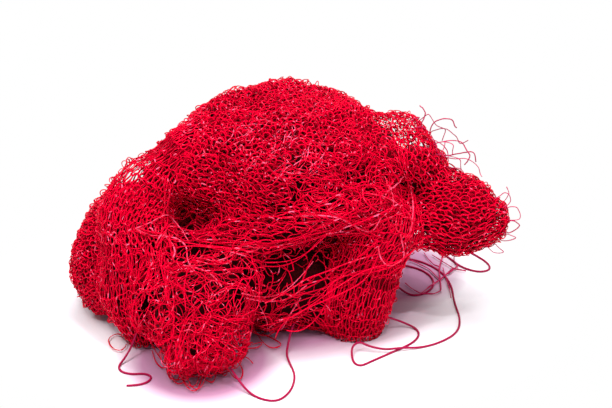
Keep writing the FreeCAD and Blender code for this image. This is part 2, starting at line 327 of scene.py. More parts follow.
# Single strands as the photograph shows them, in its pixels; they lie on the heap behind them
TRACED = [
    [(300, 286), (306, 268), (320, 248), (345, 243), (374, 247)],
    [(326, 222), (341, 236), (346, 252), (336, 270), (316, 282), (298, 290)],
    [(378, 246), (380, 258), (388, 266), (402, 257), (401, 245), (399, 234)],
    [(402, 258), (384, 268), (352, 275), (322, 279), (298, 285)],
    [(376, 210), (364, 203), (362, 193), (367, 187), (376, 191), (380, 203), (377, 210)],
    [(362, 195), (385, 198), (400, 208), (408, 216), (410, 228), (405, 236)],
    [(296, 217), (318, 216), (340, 217), (354, 224), (369, 232), (376, 225), (380, 217)],
    [(135, 229), (150, 223), (163, 215), (172, 222), (190, 243)],
    [(138, 231), (150, 236), (163, 237), (172, 244), (176, 254), (172, 262)],
    [(163, 237), (178, 240), (187, 248), (188, 262), (197, 276)],
    [(184, 267), (198, 270), (212, 277), (222, 288)],
    [(240, 294), (262, 296), (282, 292), (300, 276), (312, 262)],
    [(244, 298), (266, 300), (286, 298), (306, 284)],
    [(256, 302), (264, 314), (268, 326), (263, 337)],
    [(300, 316), (288, 316), (272, 322), (268, 328), (278, 328), (288, 314), (300, 296)],
    [(200, 252), (190, 268), (184, 290), (186, 310)],
    [(206, 262), (222, 262), (238, 252), (246, 240)],
    [(392, 170), (398, 185), (400, 200), (402, 214)],
    [(404, 172), (411, 190), (412, 208), (410, 224)],
    [(384, 196), (394, 184), (403, 175)],
]

# Loops that hang off the frayed bunch on to the table, in the photograph's pixels
TASSELS = [
    [(170, 345), (167, 362), (167, 375), (172, 377), (176, 368), (176, 350)],
    [(177, 362), (181, 378), (189, 391), (197, 392), (201, 382), (206, 364)],
    [(178, 366), (185, 384), (195, 388), (199, 376), (196, 362)],
    [(216, 360), (221, 374), (226, 377), (227, 369), (222, 358)],
    [(256, 334), (263, 344), (272, 350), (281, 347), (278, 343), (262, 335)],
    [(252, 346), (262, 344), (258, 349), (248, 350)],
    [(240, 356), (248, 360), (253, 365)],
    [(168, 364), (172, 380), (180, 386), (187, 378), (188, 362)],
    [(184, 364), (190, 386), (197, 391), (204, 384), (207, 364)],
    [(152, 352), (156, 364), (164, 370), (171, 362), (170, 348)],
    [(226, 364), (232, 377), (240, 381), (243, 372), (236, 360)],
    [(196, 366), (204, 380), (213, 384), (216, 374), (212, 360)],
    [(128, 344), (122, 352), (113, 350), (108, 342), (114, 336), (124, 335)],
]

# Strands on the table under the flap, in the photograph's pixels
UNDER_FLAP = [
    [(405, 284), (412, 290), (421, 295), (429, 288), (440, 281), (448, 274), (453, 269)],
    [(421, 295), (434, 295), (441, 292), (440, 281), (439, 270), (442, 259), (443, 254)],
    [(406, 260), (415, 263), (429, 270), (440, 281)],
    [(424, 254), (428, 260), (434, 266), (440, 268)],
    [(432, 256), (443, 263), (454, 270), (466, 272)],
    [(454, 254), (454, 262), (458, 267), (453, 271), (448, 275)],
    [(443, 269), (445, 277), (449, 288), (451, 299)],
]

# Thin frays that stand off the outline, through points in mm
FRAYS = {
    "top_right_frays": ("heap", [
        [(31, 7, 52), (34, 5, 55), (37, 4, 52.5), (38.5, 3, 49)],
        [(34, 6, 50), (38, 5, 51), (41, 4, 49), (42, 3, 46)],
        [(36, 6, 48), (40, 5, 50.5), (43, 4, 50), (42.5, 4, 47)],
        [(37, 5, 46), (41, 4, 47), (44.5, 3, 46), (45.5, 3, 43)],
        [(30, 8, 53), (32, 7, 56), (34, 6, 57)],
        [(38, 5, 45), (42, 4, 43.5), (45, 3, 43.5), (47, 2, 41)],
        [(35, 6, 50), (37, 4, 47), (40, 3, 48), (41, 3, 51)],
        [(33, 9, 54), (36.5, 8, 57), (38.5, 7, 54.5), (41, 7, 53), (40.5, 6, 50)],
        [(36, 8, 51), (40, 7, 53.5), (43.5, 6, 52.5), (45, 6, 49.5), (47.5, 5, 50.5)],
        [(37, 8, 48), (42.5, 7, 50), (46, 6, 49.5), (48, 5, 46), (46.5, 5, 43.5)],
        [(38, 7, 46.5), (43, 6, 45), (46.5, 5, 45.5), (50, 4, 43.5), (51, 3, 41)],
        [(34, 8, 53), (35.5, 7, 57.5), (34.2, 7, 60)],
        [(36.5, 8, 50), (38.5, 7, 55.5), (42, 6, 56.5), (43.5, 6, 54)],
        [(40, 7, 44.5), (45, 6, 46.5), (48.5, 5, 47.5), (49.5, 4, 45)],
    ]),
    "flap_tip_frays": ("flap", [
        [(54, -3, 37), (57.2, -3, 39), (58.2, -3, 36.6), (56, -3.5, 34)],
        [(55.5, -3, 34.5), (60.2, -3, 34.6), (61, -3, 31.5), (57.5, -3, 30.5)],
        [(57, -3, 32), (61.2, -3.5, 29.8), (58.2, -4, 27.6), (56, -4, 29)],
        [(56, -4, 28.5), (60.2, -4, 26.4), (57, -4, 25.2), (54.5, -4, 27)],
        [(53.5, -4, 25), (57, -4.5, 22.4), (54.4, -4.5, 22), (52, -4, 24)],
        [(56, -2, 35), (57.8, -2, 37.8), (57.6, -2, 40)],
    ]),
}

# Small loops pulled out of the net all over: number, body (None for the flap's), from x to x in mm
SNAGS = {"heap_snags": (1300, "heap", -90, 37), "flap_snags": (110, None, 37, 90)}

# Where the flap's net begins to bend, in metres
FLAP_BEND_START = (0.034, 0.0015, 0.033)


# Camera

def make_camera():
    data = bpy.data.cameras.new("photo_camera")
    data.lens = LENS
    data.sensor_width = SENSOR
    data.clip_start = CLIP_START
    camera = bpy.data.objects.new("photo_camera", data)
    bpy.context.scene.collection.objects.link(camera)
    camera.location = camera_place()
    camera.rotation_euler = (math.pi / 2 - ELEVATION, 0, 0)
    bpy.context.scene.camera = camera


def camera_place():
    back = Vector((0, -math.cos(ELEVATION), math.sin(ELEVATION)))
    return Vector(TARGET) + DISTANCE * back


def pixel_ray(pixel):
    """Direction from the camera through a pixel of the photograph."""
    focus = LENS / SENSOR * IMAGE_WIDE
    right = (pixel[0] - IMAGE_WIDE / 2) / focus
    up = (IMAGE_HIGH / 2 - pixel[1]) / focus
    ahead = np.array([0, math.cos(ELEVATION), -math.sin(ELEVATION)])
    over = np.array([0, math.sin(ELEVATION), math.cos(ELEVATION)])
    return Vector(unit(ahead + right * np.array([1, 0, 0]) + up * over))


# Materials

class Nodes:
    """Adds shader nodes to a tree. An input is a socket to link or a value to set."""

    def __init__(self, tree):
        self.tree = tree

    def feed(self, node, inputs):
        for name, value in inputs.items():
            if isinstance(value, bpy.types.NodeSocket):
                self.tree.links.new(value, node.inputs[name])
            else:
                node.inputs[name].default_value = value

    def add(self, kind, inputs=None, **settings):
        node = self.tree.nodes.new("ShaderNode" + kind)
        for name, value in settings.items():
            setattr(node, name, value)
        self.feed(node, inputs or {})
        return node

    def math(self, operation, *values, **settings):
        inputs = dict(enumerate(values))
        return self.add("Math", inputs, operation=operation, **settings).outputs[0]

    def ramp(self, value, stops):
        """Colour that runs through the stops, each a place from 0 to 1 and a colour."""
        node = self.add("ValToRGB", {"Fac": value})
        elements = node.color_ramp.elements
        for i, (place, colour) in enumerate(stops):
            element = elements[i] if i < 2 else elements.new(place)
            element.position = place
            element.color = (*colour, 1)
        return node.outputs["Color"]

    def finish(self, shader):
        """Leads a shader to the output of the material or the world."""
        for node in self.tree.nodes:
            if node.bl_idname in ("ShaderNodeOutputMaterial", "ShaderNodeOutputWorld"):
                self.feed(node, {"Surface": shader})


def new_material(name):
    """A new material, its nodes and its main shader."""
    material = bpy.data.materials.new(name)
    material.use_nodes = True
    return material, Nodes(material.node_tree), material.node_tree.nodes["Principled BSDF"]


# Tape: patches and streaks per metre, how far patches change the tone and the roughness, stops of the tone
PATCH_SCALE = 700.0
PATCH_DETAIL = 3.0
PATCH_SHARE = 0.5
PATCH_ROUGHNESS = (-0.06, 0.14)
STREAK_SCALE = 3500.0
STREAK_STRENGTH = 0.25
STREAK_DEPTH = 0.05 * MM
TAPE_SPECULAR = 0.02
TONE_STOPS = (0.3, 0.7, 0.86, 1.0)


def tape_material(name, colours, roughness):
    """Red plastic tape: each strand has its own tone, with fine streaks and a varying gloss."""
    material, nodes, shader = new_material(name)
    place = nodes.add("TexCoord").outputs["Object"]
    patches = nodes.add("TexNoise", {"Vector": place, "Scale": PATCH_SCALE, "Detail": PATCH_DETAIL})
    patches = patches.outputs["Fac"]
    streaks = nodes.add("TexNoise", {"Vector": place, "Scale": STREAK_SCALE}).outputs["Fac"]
    tone = nodes.add("Attribute", attribute_name="tone").outputs["Fac"]
    # The tone runs from the deep colour, which also paints the inner layer's shade, to the pale one of
    # painted glints
    deep, plain, pale = colours
    tone = nodes.math("MULTIPLY_ADD", patches, PATCH_SHARE, tone)
    least, most = (roughness + change for change in PATCH_ROUGHNESS)
    gloss = nodes.add("MapRange", {"Value": patches, "To Min": least, "To Max": most})
    bump = nodes.add("Bump", {"Height": streaks, "Strength": STREAK_STRENGTH, "Distance": STREAK_DEPTH})
    nodes.feed(shader, {
        "Base Color": nodes.ramp(tone, zip(TONE_STOPS, (deep, plain, plain, pale))),
        "Roughness": gloss.outputs["Result"],
        "Normal": bump.outputs["Normal"],
        "Specular IOR Level": TAPE_SPECULAR,
    })
    return material


# Packed net: tangles per metre, edges of their strands, the painted shade between them, share of blue in
# the red, relief and gloss
TANGLE_SCALE = 550.0
TANGLE_EDGES = (0.05, 0.3)
TANGLE_GAP_SHADE = (0.010, 0.0, 0.0005)
TANGLE_BLUE = 0.03
TANGLE_STRENGTH = 0.6
TANGLE_DEPTH = 0.3 * MM
TANGLE_ROUGHNESS = 0.8
TANGLE_SPECULAR = 0.05


def core_material(name, red):
    """Net packed deep inside, seen through the gaps as dark red tangles, its darkness painted shade."""
    material, nodes, shader = new_material(name)
    place = nodes.add("TexCoord").outputs["Object"]
    tangle = nodes.add("TexVoronoi", {"Vector": place, "Scale": TANGLE_SCALE}, feature="DISTANCE_TO_EDGE")
    tangle = tangle.outputs["Distance"]
    colour = nodes.ramp(tangle, zip(TANGLE_EDGES, ((red, 0.0, TANGLE_BLUE * red), TANGLE_GAP_SHADE)))
    tone = nodes.add("Attribute", attribute_name="tone").outputs["Fac"]
    shade = nodes.add("VectorMath", {"Vector": colour, "Scale": tone}, operation="SCALE")
    relief = {"Height": tangle, "Strength": TANGLE_STRENGTH, "Distance": TANGLE_DEPTH}
    bump = nodes.add("Bump", relief, invert=True)
    nodes.feed(shader, {
        "Base Color": shade.outputs["Vector"],
        "Normal": bump.outputs["Normal"],
        "Roughness": TANGLE_ROUGHNESS,
        "Specular IOR Level": TANGLE_SPECULAR,
    })
    return material


# Meshes of tape

def fill_mesh(name, points, quads, tone):
    """A smooth mesh object from arrays of points, quads and a tone for each point."""
    mesh = bpy.data.meshes.new(name)
    mesh.vertices.add(len(points))
    mesh.vertices.foreach_set("co", points.astype(np.float32).ravel())
    mesh.loops.add(quads.size)
    mesh.loops.foreach_set("vertex_index", quads.astype(np.int32).ravel())
    mesh.polygons.add(len(quads))
    mesh.polygons.foreach_set("loop_start", np.arange(0, quads.size, 4, dtype=np.int32))
    mesh.polygons.foreach_set("use_smooth", np.ones(len(quads), bool))
    attribute = mesh.attributes.new("tone", "FLOAT", "POINT")
    attribute.data.foreach_set("value", tone.astype(np.float32))
    mesh.update(calc_edges=True)
    piece = bpy.data.objects.new(name, mesh)
    bpy.context.scene.collection.objects.link(piece)
    return piece


def unit(vectors):
    return vectors / np.maximum(np.linalg.norm(vectors, axis=-1, keepdims=True), 1e-12)


def tape_section(points, normals, along, twist, wide, thick):
    """The four corners of a flat tape at each point, kept off the table."""
    side = unit(np.cross(normals, along))
    up = np.cross(along, side)
    turn = np.asarray(twist)[..., None]
    flat = np.cos(turn) * side + np.sin(turn) * up
    edge = np.cos(turn) * up - np.sin(turn) * side
    corners = [flat * wide / 2, edge * thick / 2, -flat * wide / 2, -edge * thick / 2]
    rings = np.stack([points + c for c in corners], -2)
    rings[..., 2] = np.maximum(rings[..., 2], FLOOR_GAP / 3)
    return rings


def tape_mesh(name, runs, wide=TAPE_WIDE, thick=TAPE_THICK):
    """One mesh of open tapes. A run is (points, normals, twist, tone), with at least 3 points."""
    points = np.concatenate([run[0] for run in runs])
    normals = np.concatenate([run[1] for run in runs])
    twist = np.concatenate([np.broadcast_to(run[2], len(run[0])) for run in runs])
    tone = np.concatenate([np.broadcast_to(run[3], len(run[0])) for run in runs])
    lengths = np.array([len(run[0]) for run in runs])
    ends = np.cumsum(lengths)
    starts = ends - lengths
    after = np.arange(len(points)) + 1
    after[ends - 1] = ends - 1
    before = np.arange(len(points)) - 1
    before[starts] = starts
    along = unit(points[after] - points[before])
    rings = tape_section(points, normals, along, twist, wide, thick)
    first = np.setdiff1d(np.arange(len(points)), ends - 1)
    quads = []
    for i in range(4):
        j = (i + 1) % 4
        quads.append(np.stack([first * 4 + i, first * 4 + j, first * 4 + 4 + j, first * 4 + 4 + i], 1))
    quads.append(starts[:, None] * 4 + np.array([3, 2, 1, 0]))
    quads.append((ends[:, None] - 1) * 4 + np.array([0, 1, 2, 3]))
    return fill_mesh(name, rings.reshape(-1, 3), np.concatenate(quads), np.repeat(tone, 4))


# Fold surfaces

def smooth_through(points, count):
    """count points evenly spread along a smooth curve through the given points (any dimension)."""
    points = np.asarray(points, float)
    padded = np.concatenate([2 * points[:1] - points[1:2], points, 2 * points[-1:] - points[-2:-1]])
    place = np.linspace(0, len(points) - 1, count)
    i = np.minimum(place.astype(int), len(points) - 2)
    t = (place - i)[:, None]
    a, b, c, d = padded[i], padded[i + 1], padded[i + 2], padded[i + 3]
    return 0.5 * (2 * b + (c - a) * t + (2 * a - 5 * b + 4 * c - d) * t**2 + (3 * b - a - 3 * c + d) * t**3)


def corner_through(points, count):
    """count points evenly spread along the straight lines from each given point to the next."""
    points = np.asarray(points, float)
    steps = np.linalg.norm(np.diff(points, axis=0), axis=1)
    reached = np.concatenate([[0], np.cumsum(steps)])
    place = np.linspace(0, reached[-1], count)
    return np.stack([np.interp(place, reached, column) for column in points.T], 1)


def end_cap(end, inner):
    """Extra stations that round off a fold's end, from the end station outwards."""
    outward = unit(end[:3] - inner[:3])
    reach = END_STRETCH * min(end[3:5])
    turns = np.radians(END_ANGLES)
    return [np.append(end[:3] + outward * reach * math.sin(t), end[3:5] * math.cos(t)) for t in turns]


def crumple(points):
    """How far the net is crumpled out or in at each point, from -1 to 1."""
    waves = np.zeros(points.shape[:-1])
    for share, direction, start in CRUMPLE_WAVES:
        waves += share * np.sin(2 * np.pi * (points / MM) @ np.array(direction) + start)
    return waves


# Least half size of a fold, and its deepest crumple and inset as shares of the way to its middle
LEAST_HALF = 0.2 * MM
CRUMPLE_SHARE = 0.25
INSET_SHARE = 0.85


class Skin:
    """The crumpled surface of one fold as a grid: rows along the fold, columns round it."""

    ROWS = 90
    COLUMNS = 96

    def __init__(self, name, inset=0.0, skip=0, trim=0):
        stations = CORE_ONLY.get(name) or FOLDS[name]
        stations = np.array(stations[skip:len(stations) - trim], float)
        first = end_cap(stations[0], stations[1])[::-1]
        last = end_cap(stations[-1], stations[-2])
        line = smooth_through(np.concatenate([first, stations, last]), self.ROWS) * MM
        self.middle = line[:, :3]
        along = unit(np.gradient(self.middle, axis=0))
        level = np.array([0, 1.0, 0]) if name in UPRIGHT else np.array([0, 0, 1.0])
        across = unit(np.cross(level, along))[:, None]
        up = np.cross(along[:, None], across)
        angle = np.linspace(0, 2 * np.pi, self.COLUMNS, endpoint=False)[None, :, None]
        half = np.maximum(line[:, None, 3:5], LEAST_HALF)
        rim = across * half[..., :1] * np.cos(angle) + up * half[..., 1:] * np.sin(angle)
        depth = np.minimum(CRUMPLE_DEPTHS.get(name, 0.0) * MM, CRUMPLE_SHARE * half.min(-1))
        out = depth * crumple(self.middle[:, None] + rim) - inset
        out = np.maximum(out, -INSET_SHARE * np.linalg.norm(rim, axis=-1))
        self.grid = self.middle[:, None] + rim + unit(rim) * out[..., None]
        self.grid[..., 2] = np.maximum(self.grid[..., 2], FLOOR_GAP + min(inset, 0))
        self.find_normals()

    def find_normals(self):
        round_it = np.roll(self.grid, -1, 1) - np.roll(self.grid, 1, 1)
        along_it = np.gradient(self.grid, axis=0)
        normals = unit(np.cross(round_it, along_it))
        outward = ((self.grid - self.middle[:, None]) * normals).sum(-1).mean()
        self.normals = normals if outward > 0 else -normals
        self.round_speed = np.linalg.norm(round_it, axis=-1) * self.COLUMNS / 2
        self.along_speed = np.linalg.norm(along_it, axis=-1) * (self.ROWS - 1)

    def blend(self, values, u, v):
        """Values of a grid at round place u (0 to 1, wraps) and along place v (0 to 1)."""
        x = (u % 1.0) * self.COLUMNS
        y = np.clip(v, 0, 1) * (self.ROWS - 1)
        i = np.minimum(y.astype(int), self.ROWS - 2)
        j = x.astype(int) % self.COLUMNS
        k = (j + 1) % self.COLUMNS
        s = x - np.floor(x)
        t = y - i
        if values.ndim == 3:
            s, t = s[..., None], t[..., None]
        low = values[i, j] * (1 - s) + values[i, k] * s
        high = values[i + 1, j] * (1 - s) + values[i + 1, k] * s
        return low * (1 - t) + high * t

    def at(self, u, v):
        return self.blend(self.grid, u, v), unit(self.blend(self.normals, u, v))

    def quads(self):
        """Points and outward quads of the grid."""
        index = np.arange(self.ROWS * self.COLUMNS).reshape(self.ROWS, self.COLUMNS)
        right = np.roll(index, -1, 1)
        quads = np.stack([index[:-1], right[:-1], right[1:], index[1:]], -1).reshape(-1, 4)
        points = self.grid.reshape(-1, 3)
        a, b, d = (points[quads[:, i]] for i in (0, 1, 3))
        if (np.cross(b - a, d - a) * self.normals.reshape(-1, 3)[quads[:, 0]]).sum() < 0:
            quads = quads[:, ::-1]
        return points, quads

    def closed_faces(self):
        """Points and faces with the two small end holes filled."""
        points, quads = self.quads()
        last = len(points) - self.COLUMNS
        ends = [list(range(self.COLUMNS)), list(range(last, last + self.COLUMNS))]
        return points, quads.tolist() + ends


def nudged(points):
    """The points moved by the small shifts of the heap's surface."""
    moved = points.copy()
    for centre, reach, shift in NUDGES:
        away = np.linalg.norm(points / MM - np.array(centre), axis=1) / reach
        moved += np.exp(-away**2)[:, None] * np.array(shift) * MM
    return moved


# Outside of the heap: voxel, share and number of the softening moves, how far the folds are swollen while
# they are joined, and how near over the heap a stitch is moved on to it
HEAP_VOXEL = 1.2 * MM
HEAP_SOFTNESS = 0.5
HEAP_SOFTENING = 5
CREASE_FILL = 3.0 * MM
SETTLE_REACH = 3.0 * MM


def join_skins(skins):
    """Points and faces of closed skins in one list, and the number of faces of each."""
    points, faces, counts = [], [], []
    for skin in skins:
        own, own_faces = skin.closed_faces()
        faces += [[v + len(points) for v in face] for face in own_faces]
        points += own.tolist()
        counts.append(len(own_faces))
    return points, faces, counts


def joined_form():
    """Points and triangles of the outside of all folds, joined by voxels and softened."""
    mesh = bpy.data.meshes.new("heap_form")
    points, faces, _ = join_skins([Skin(name, -CREASE_FILL) for name in FOLDS])
    mesh.from_pydata(points, [], faces)
    form = bpy.data.objects.new("heap_form", mesh)
    bpy.context.scene.collection.objects.link(form)
    joined = form.modifiers.new("joined", "REMESH")
    joined.mode = "VOXEL"
    joined.voxel_size = HEAP_VOXEL
    softened = form.modifiers.new("softened", "SMOOTH")
    softened.factor = HEAP_SOFTNESS
    softened.iterations = HEAP_SOFTENING
    shape = bpy.data.meshes.new_from_object(form.evaluated_get(bpy.context.evaluated_depsgraph_get()))
    shape.calc_loop_triangles()
    points = np.empty(len(shape.vertices) * 3)
    shape.vertices.foreach_get("co", points)
    triangles = np.empty(len(shape.loop_triangles) * 3, int)
    shape.loop_triangles.foreach_get("vertices", triangles)
    bpy.data.objects.remove(form)
    bpy.data.meshes.remove(mesh)
    bpy.data.meshes.remove(shape)
    return points.reshape(-1, 3), triangles.reshape(-1, 3)


class Heap:
    """The outside of the whole heap: swollen folds joined and shrunk back, which fills the creases."""

    def __init__(self, skins):
        points, faces, counts = join_skins(skins.values())
        self.names = np.repeat(list(skins), counts)
        self.fold_tree = BVHTree.FromPolygons(points, faces)
        self.points, self.triangles = joined_form()
        self.points = self.points - self.find_normals() * CREASE_FILL
        for _ in range(2):
            self.soften()
        self.points = nudged(self.points)
        self.points[:, 2] = np.maximum(self.points[:, 2], FLOOR_GAP)
        self.normals = self.find_normals()
        self.tree = BVHTree.FromPolygons(self.points.tolist(), self.triangles.tolist())

    def find_normals(self):
        """Normals at the points; it also measures the triangles."""
        a, b, c = (self.points[self.triangles[:, i]] for i in range(3))
        facing = np.cross(b - a, c - a)
        self.areas = np.linalg.norm(facing, axis=1) / 2
        normals = np.zeros_like(self.points)
        for i in range(3):
            np.add.at(normals, self.triangles[:, i], facing)
        return unit(normals)

    def soften(self):
        """Moves each point half of the way to the middle of its neighbours."""
        total = np.zeros_like(self.points)
        number = np.zeros((len(self.points), 1))
        for i in range(3):
            for j in ((i + 1) % 3, (i + 2) % 3):
                np.add.at(total, self.triangles[:, i], self.points[self.triangles[:, j]])
                np.add.at(number, self.triangles[:, i], 1)
        self.points = (self.points + total / np.maximum(number, 1)) / 2

    def owner_of(self, points):
        """Name of the fold that is nearest to each point."""
        return self.names[[self.fold_tree.find_nearest(p)[2] for p in points]]

    def scatter(self, number, rng):
        """Random places on the heap and their normals."""
        pick = rng.choice(len(self.triangles), number, p=self.areas / self.areas.sum())
        a, b = rng.random((2, number))
        over = a + b > 1
        a[over], b[over] = 1 - a[over], 1 - b[over]
        weights = np.stack([1 - a - b, a, b], 1)[..., None]
        corners = self.triangles[pick]
        return (self.points[corners] * weights).sum(1), unit((self.normals[corners] * weights).sum(1))

    def lay(self, points, rise):
        """The points moved on to the heap at the given rise over it, and the normals there."""
        flat = points.reshape(-1, 3)
        found = [self.tree.find_nearest(p)[:2] for p in flat]
        places = np.array([f[0] for f in found]).reshape(points.shape)
        normals = np.array([f[1] for f in found]).reshape(points.shape)
        return places + normals * rise[..., None], normals

    def settle(self, points, normals):
        """Points under the heap's surface or just over it moved on to it, with the normals there."""
        points, normals = points.copy(), normals.copy()
        for i, p in enumerate(points):
            place, normal, _, _ = self.tree.find_nearest(p)
            if (Vector(p) - place).dot(normal) < SETTLE_REACH:
                points[i], normals[i] = place, normal
        return points, normals

    def lay_clear(self, points, lift):
        """Pushes points out of the heap so that they lie on it at the lift."""
        laid = points.copy()
        normals = np.empty_like(points)
        for i, p in enumerate(points):
            place, normal, _, far = self.tree.find_nearest(p)
            normals[i] = normal
            if (Vector(p) - place).dot(normal) < 0 or far < lift:
                laid[i] = place + normal * lift
        laid[:, 2] = np.maximum(laid[:, 2], FLOOR_GAP)
        return laid, normals


def on_thin_ridge(name, points):
    height, least, most = (v * MM for v in THIN_RIDGES[name])
    return (points[:, 2] > height) & (points[:, 0] > least) & (points[:, 0] < most)


# Least share of a normal that points along the view where a surface faces away
AWAY_SHARE = 0.05


def faces_away(normals):
    """Whether a surface faces away from the photograph's view."""
    return normals[:, 1] * math.cos(ELEVATION) - normals[:, 2] * math.sin(ELEVATION) > AWAY_SHARE


# Pulled net: an open loop in each irregular cell, its legs under the next loops

# Loop of a cell: turns from leg to leg, how far the legs reach, how deep they go in mm, and its size and
# wobbles as shares of the cell
LOOP_TURNS = np.radians([-50, -24, 2, 28, 52, 76, 100, 126, 152, 178, 204, 230])
LEG_SHARE = 1.25
LEG_DEPTH = 0.35
LOOP_SIZE = 1.1
LOOP_WOBBLES = (0.14, 0.10)

# Cells: random places to pick from, neighbours that bound a cell, the power that rounds its corners, its
# widest radius as its size divided by CELL_LIMIT, how far normals agree on the same side of the net, and
# the squared distance in metres that places on the other side are given, so that they don't count
CANDIDATES = 70000
NEIGHBOURS = 14
ROUNDNESS = 6
CELL_LIMIT = 1.25
SAME_SIDE = 0.2
OTHER_SIDE_APART = 1.0

# Net lower than this over the table is left out
FOOT_CLEARANCE = 0.6 * MM

# Opened net has wider and longer cells, and the pull wanders from its way over a length
GAPE_WIDENS = 0.25
GAPE_LENGTHENS = 0.4
PULL_WANDER = 0.5
PULL_WANDER_LENGTH = 9 * MM

# Torn net: the bunch's torn share grows with height, would be whole at TORN_HEIGHT and has a least and a
# most; clumps are torn where the net is open by LEAST_GAPE, over an edge that opening lowers
TORN_HEIGHT = 17 * MM
TORN_SHARES = (0.3, 0.95)
LEAST_GAPE = 0.1
CLUMP_EDGE = 0.45
CLUMP_GAPE = 0.5

# Spread of the loops' tips and leans in radians, least lean in mm, depth of the bunch's inner net as a
# multiple, and twist of the tape in radians
TIP_SPREAD = 0.55
LEAN_SPREAD = 0.5
LEAST_LEAN = 0.2
BUNCH_DEEPER = 3.5
TWIST_SPREAD = 0.4
TWIST_WAVE = 0.5

# Tones of the outer layer of net and of the one under it, from 0, deep, to 1, pale, where the inner layer's
# lower tone is painted shade; how far they and the tones of strands spread, the palest that the spread
# makes, and the tone of the painted glints
OUTER_TONE = 0.42
SHADED_INNER_TONE = 0.20
CELL_TONE_SPREAD = 0.14
TONE_SPREAD = 0.12
PALEST = 0.6
PAINTED_GLINT_TONE = 1.0

# Share of the tape's points that get the pale tone as painted glints, and that share on the folds that get
# fewer of them
PAINTED_GLINT_SHARE = 0.022
FEWER_GLINTS_SHARE = 0.008
FEWER_GLINT_FOLDS = ("right_flap", "left_roll", "hanging_leg_fold", "back_left_fold", "back_right_fold")


def opened(points):
    """How far the net is pulled open at each point, from 0 to 1."""
    most = np.zeros(len(points))
    for centre, reach in OPENED:
        away = np.linalg.norm(points / MM - np.array(centre), axis=1)
        most = np.maximum(most, np.clip(OPEN_REACHES - away / reach, 0, 1))
    return most


# Shifts between the three values of a smooth random vector
NOISE_SHIFTS = (Vector((0, 0, 0)), Vector((31.4, 7.1, 12.9)), Vector((11.7, 43.3, 5.3)))


def smooth_vectors(places):
    """Three smooth random values from -1 to 1 at each place, the same in every run."""
    return np.array([[noise.noise(Vector(p) + shift) for shift in NOISE_SHIFTS] for p in places])


def point_tree(points):
    tree = KDTree(len(points))
    for i, p in enumerate(points):
        tree.insert(p, i)
    tree.balance()
    return tree


def thin_out(points, along, size, stretch):
    """Picks points so that none is nearer to another than a cell, by the stretched measure."""
    tree = point_tree(points)
    free = np.ones(len(points), bool)
    kept = []
    for i in range(len(points)):
        if free[i]:
            kept.append(i)
            near = np.array([found[1] for found in tree.find_range(points[i], size[i] * stretch[i])])
            off = points[near] - points[i]
            lengthwise = off @ along[i]
            apart = (off**2).sum(1) - lengthwise**2 * (1 - 1 / stretch[i]**2)
            free[near[apart < size[i]**2]] = False
    return np.array(kept)


def cell_radii(points, normals, along, size, stretch, tip):
    """Distance from the middle of each cell to its rounded wall, at the turns of its tipped loop."""
    tree = point_tree(points)
    near = np.array([[found[1] for found in tree.find_n(p, NEIGHBOURS + 1)] for p in points])[:, 1:]
    off = points[near] - points[:, None]
    side = np.cross(normals, along)
    x = (off * along[:, None]).sum(-1) / stretch[:, None]
    y = (off * side[:, None]).sum(-1)
    same_side = (normals[near] * normals[:, None]).sum(-1) > SAME_SIDE
    apart = np.where(same_side, x**2 + y**2, OTHER_SIDE_APART)
    turn = LOOP_TURNS + tip
    turn = turn[:, None]
    walls = (x[..., None] * np.cos(turn) + y[..., None] * np.sin(turn)) * 2 / apart[..., None]
    walls = (np.maximum(walls, 0) ** ROUNDNESS).sum(1) + (CELL_LIMIT / size[:, None]) ** ROUNDNESS
    return walls ** (-1 / ROUNDNESS), turn[:, 0]


def fold_values(owners, i):
    """One of the values of the pulled folds for each owner."""
    return np.array([PULLED_NET[owner][i] for owner in owners], float)


def random_tone(rng, tone, spread, size=None):
    return np.clip(rng.normal(tone, spread, size), 0, max(PALEST, tone))


def net_places(heap, rng, spread, inner):
    """Middles of the cells: places, normals, folds, ways of the pull, sizes and stretches."""
    points, normals = heap.scatter(CANDIDATES, rng)
    owners = heap.owner_of(points)
    keep = np.isin(owners, list(PULLED_NET)) & (points[:, 2] > FOOT_CLEARANCE)
    ridge = (owners == "right_shoulder") & on_thin_ridge("right_shoulder", points)
    keep &= ~(ridge & (inner | faces_away(normals) & (rng.random(len(points)) < RIDGE_OPEN)))
    if inner:
        keep &= rng.random(len(points)) > opened(points)
    points, normals, owners = points[keep], normals[keep], owners[keep]
    gape = opened(points)
    size = fold_values(owners, 0) * spread * MM * (1 + GAPE_WIDENS * gape)
    stretch = fold_values(owners, 1) * (1 + GAPE_LENGTHENS * gape)
    pull = fold_values(owners, 4) + PULL_WANDER * smooth_vectors(points / PULL_WANDER_LENGTH)
    along = unit(pull - normals * (pull * normals).sum(1)[:, None])
    kept = thin_out(points, along, size, stretch)
    return [values[kept] for values in (points, normals, owners, along, size, stretch)]


def torn_cells(points, owners, rng):
    """Which cells are torn out: more of the bunch the higher they are, and clumps of opened net."""
    share = np.clip(points[:, 2] / TORN_HEIGHT, *TORN_SHARES)
    torn = (owners == "frayed_bunch") & (rng.random(len(points)) < share)
    clumps = np.array([noise.noise(Vector(p) / CLUMP) for p in points])
    gape = opened(points)
    return torn | ((gape > LEAST_GAPE) & (clumps > CLUMP_EDGE - CLUMP_GAPE * gape))


